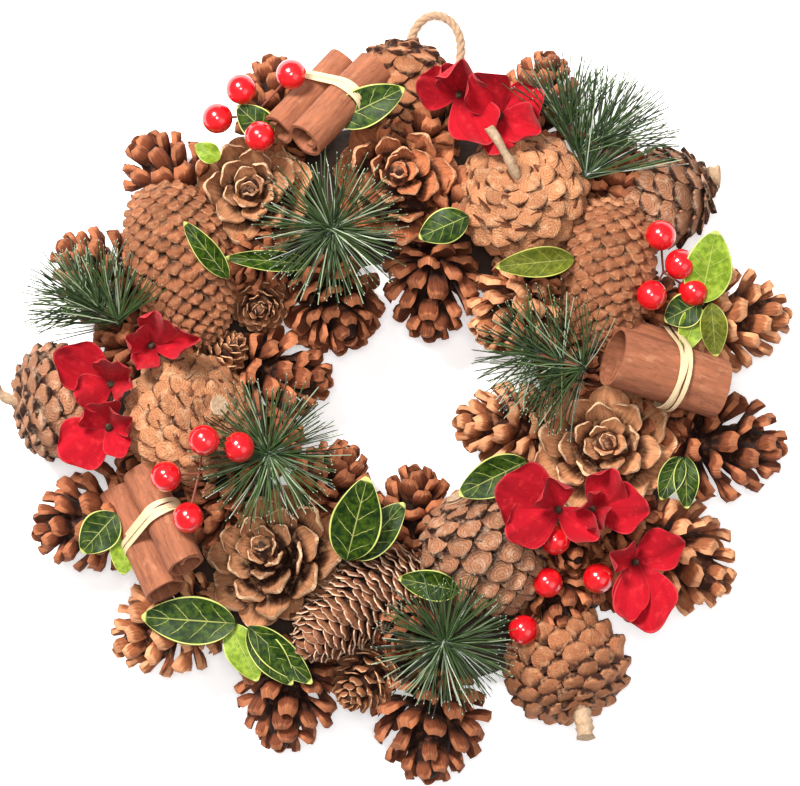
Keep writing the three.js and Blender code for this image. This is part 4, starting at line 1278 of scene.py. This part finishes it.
# ---- leaves ----
# Printed artificial leaves of stiff cloth, dark green with cream veins and a pale painted edge. They
# are wired in between the cones, and a few show their light green backs.
def leaf_material(name, green, light, edge):
    material, tree, shader = new_material(name)
    along, across = attribute(tree, "along"), attribute(tree, "across")
    where = add_node(tree, "TexCoord").outputs["Object"]
    mottle = speckle(tree, where, 420.0, 4.0)
    tone = mixed(tree, eased(tree, mottle, 0.35, 0.7), green, light)
    off = sum_of(tree, "ABSOLUTE", across)
    middle = eased(tree, off, 0.015, 0.045, 1.0, 0.0)
    slanted = sum_of(tree, "SUBTRACT", along, sum_of(tree, "MULTIPLY", off, 0.24))
    wander = sum_of(tree, "ADD", slanted, sum_of(tree, "MULTIPLY", sum_of(tree, "SUBTRACT", mottle, 0.5),
                                                 0.05))
    each = sum_of(tree, "FRACT", sum_of(tree, "MULTIPLY", wander, 5.0))
    near = sum_of(tree, "ABSOLUTE", sum_of(tree, "SUBTRACT", each, 0.5))
    side_veins = sum_of(tree, "MULTIPLY", eased(tree, near, 0.015, 0.045, 1.0, 0.0),
                        eased(tree, off, 0.55, 0.85, 1.0, 0.0))
    veins = sum_of(tree, "MAXIMUM", middle, side_veins)
    tone = mixed(tree, sum_of(tree, "MULTIPLY", veins, 0.5), tone, edge)
    rim = sum_of(tree, "MAXIMUM", off, sum_of(tree, "MULTIPLY", along, 0.995))
    tone = mixed(tree, eased(tree, rim, 0.93, 0.96), tone, edge)
    tree.links.new(tone, shader.inputs["Base Color"])
    shader.inputs["Roughness"].default_value = 0.5
    shader.inputs["Specular IOR Level"].default_value = 0.2
    raise_surface(tree, shader, sum_of(tree, "ADD", veins, sum_of(tree, "MULTIPLY", mottle, 0.5)), 0.2 * MM)
    return material


LEAF_CLOTH = 0.45  # mm thick


def cut_leaf(bm, place, length, width, rise, fold, droop, seed):
    """One leaf from the origin along +X: pointed oval, folded along its rib, with a wavy edge."""
    others, leaf, layers = lay_sheet(bm, 12, 8)
    phase = random.Random(seed).uniform(0, 6.28)
    for v in leaf:
        t, a = (v.co.x + 1) / 2, v.co.y
        half = (0.05 + 0.95 * math.sin(math.pi * t**0.85) ** 0.75) * width / 2
        z = fold * abs(a) ** 1.4 * math.sin(math.pi * min(1, t + 0.1)) + droop * t * t
        z += 0.9 * abs(a) ** 2 * math.sin(11 * t + phase + (1.3 if a > 0 else 0))
        v[layers["across"]], v[layers["along"]] = a, t
        v.co = Vector((t * length, a * half, z)) * MM
    thicken_sheet(bm, others, LEAF_CLOTH, place @ Matrix.Rotation(math.radians(-rise), 4, "Y"))


leaf_green = leaf_material("leaf", paint(14, 36, 4), paint(56, 78, 8), paint(196, 200, 112))
leaf_lime = leaf_material("lime leaf back", paint(98, 124, 26), paint(144, 164, 52), paint(186, 196, 104))
leaf_olive = leaf_material("olive leaf", paint(70, 78, 16), paint(106, 110, 32), paint(180, 182, 92))
# name, CAD body or None, then each leaf: colour, start, heading, rise, length, width, fold
SPRAYS = [
    ("leaf_spray_1", "leaf_spray_1", [
        (leaf_green, (-67, -90, 41), 176, 4, 40, 21, 1.6), (leaf_lime, (-70, -90, 39), -64, 8, 27, 15, 1.5),
        (leaf_green, (-62, -92, 42), -52, 6, 30, 14, 2),
        (leaf_green, (-62, -91, 43), -42, 2, 36, 14, 2.4)]),
    ("leaf_spray_2", "leaf_spray_2", [
        (leaf_lime, (127, 44, 42), 80, 24, 32, 21, 1.5), (leaf_green, (127, 44, 41), 206, 8, 17, 15, 1.5),
        (leaf_lime, (126, 43, 40), -106, 4, 20, 12, 2.6),
        (leaf_olive, (131, 44, 44), -84, -4, 23, 12, 2.6)]),
    ("leaf_spray_3", "leaf_spray_3", [
        (leaf_green, (-21, -64, 44), 76, 26, 40, 22, 1.5),
        (leaf_green, (-18, -63, 42), 48, 12, 32, 16, 2)]),
    ("leaf_1", None, [(leaf_green, (-26, 119, 46), 25, 16, 33, 17, 3)]),
    ("leaf_2", None, [(leaf_green, (30, 80, 50), 204, 10, 23, 15, -2)]),
    ("leaf_3", None, [(leaf_olive, (74, 62, 48), 186, 14, 34, 13, 4)]),
    ("leaf_4", None, [(leaf_green, (118, -20, 46), -114, 8, 20, 11, 2),
                      (leaf_green, (120, -20, 46), -88, 6, 22, 11, 2)]),
    ("leaf_5", None, [(leaf_green, (54, -22, 50), 206, 10, 32, 17, 3)]),
    ("leaf_6", None, [(leaf_green, (26, -76, 48), 168, 8, 26, 13, 3)]),
    ("leaf_7", None, [(leaf_green, (-117, -44, 42), 228, 4, 22, 17, 1.5),
                      (leaf_lime, (-112, -50, 40), 262, 4, 20, 14, 1.5)]),
    ("leaf_8", None, [(leaf_green, (-52, 113, 40), 138, 14, 20, 14, 2),
                      (leaf_lime, (-74, 104, 40), 150, 10, 12, 9, 2)]),
    ("leaf_9", None, [(leaf_green, (-70, 54, 52), 128, 18, 30, 10, 3),
                      (leaf_green, (-36, 60, 46), 176, 12, 36, 9, 4)]),
]
DROOP = -2  # mm that every leaf's tip hangs down
for name, node, leaves in SPRAYS:
    for green in dict.fromkeys(leaf[0] for leaf in leaves):
        cut = bmesh.new()
        for k, (colour, start, heading, rise, length, width, fold) in enumerate(leaves):
            if colour is green:
                foot = from_ring(*start) + Vector((0, 0, 4 * MM))
                place = Matrix.Translation(foot) @ Matrix.Rotation(math.radians(heading), 4, "Z")
                cut_leaf(cut, place, length, width, rise, fold, DROOP, f"{name}{k}")
        piece = soften(make_piece(f"{name}_{green.name.replace(' ', '_')}", cut, green))
        if node:
            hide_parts(node)
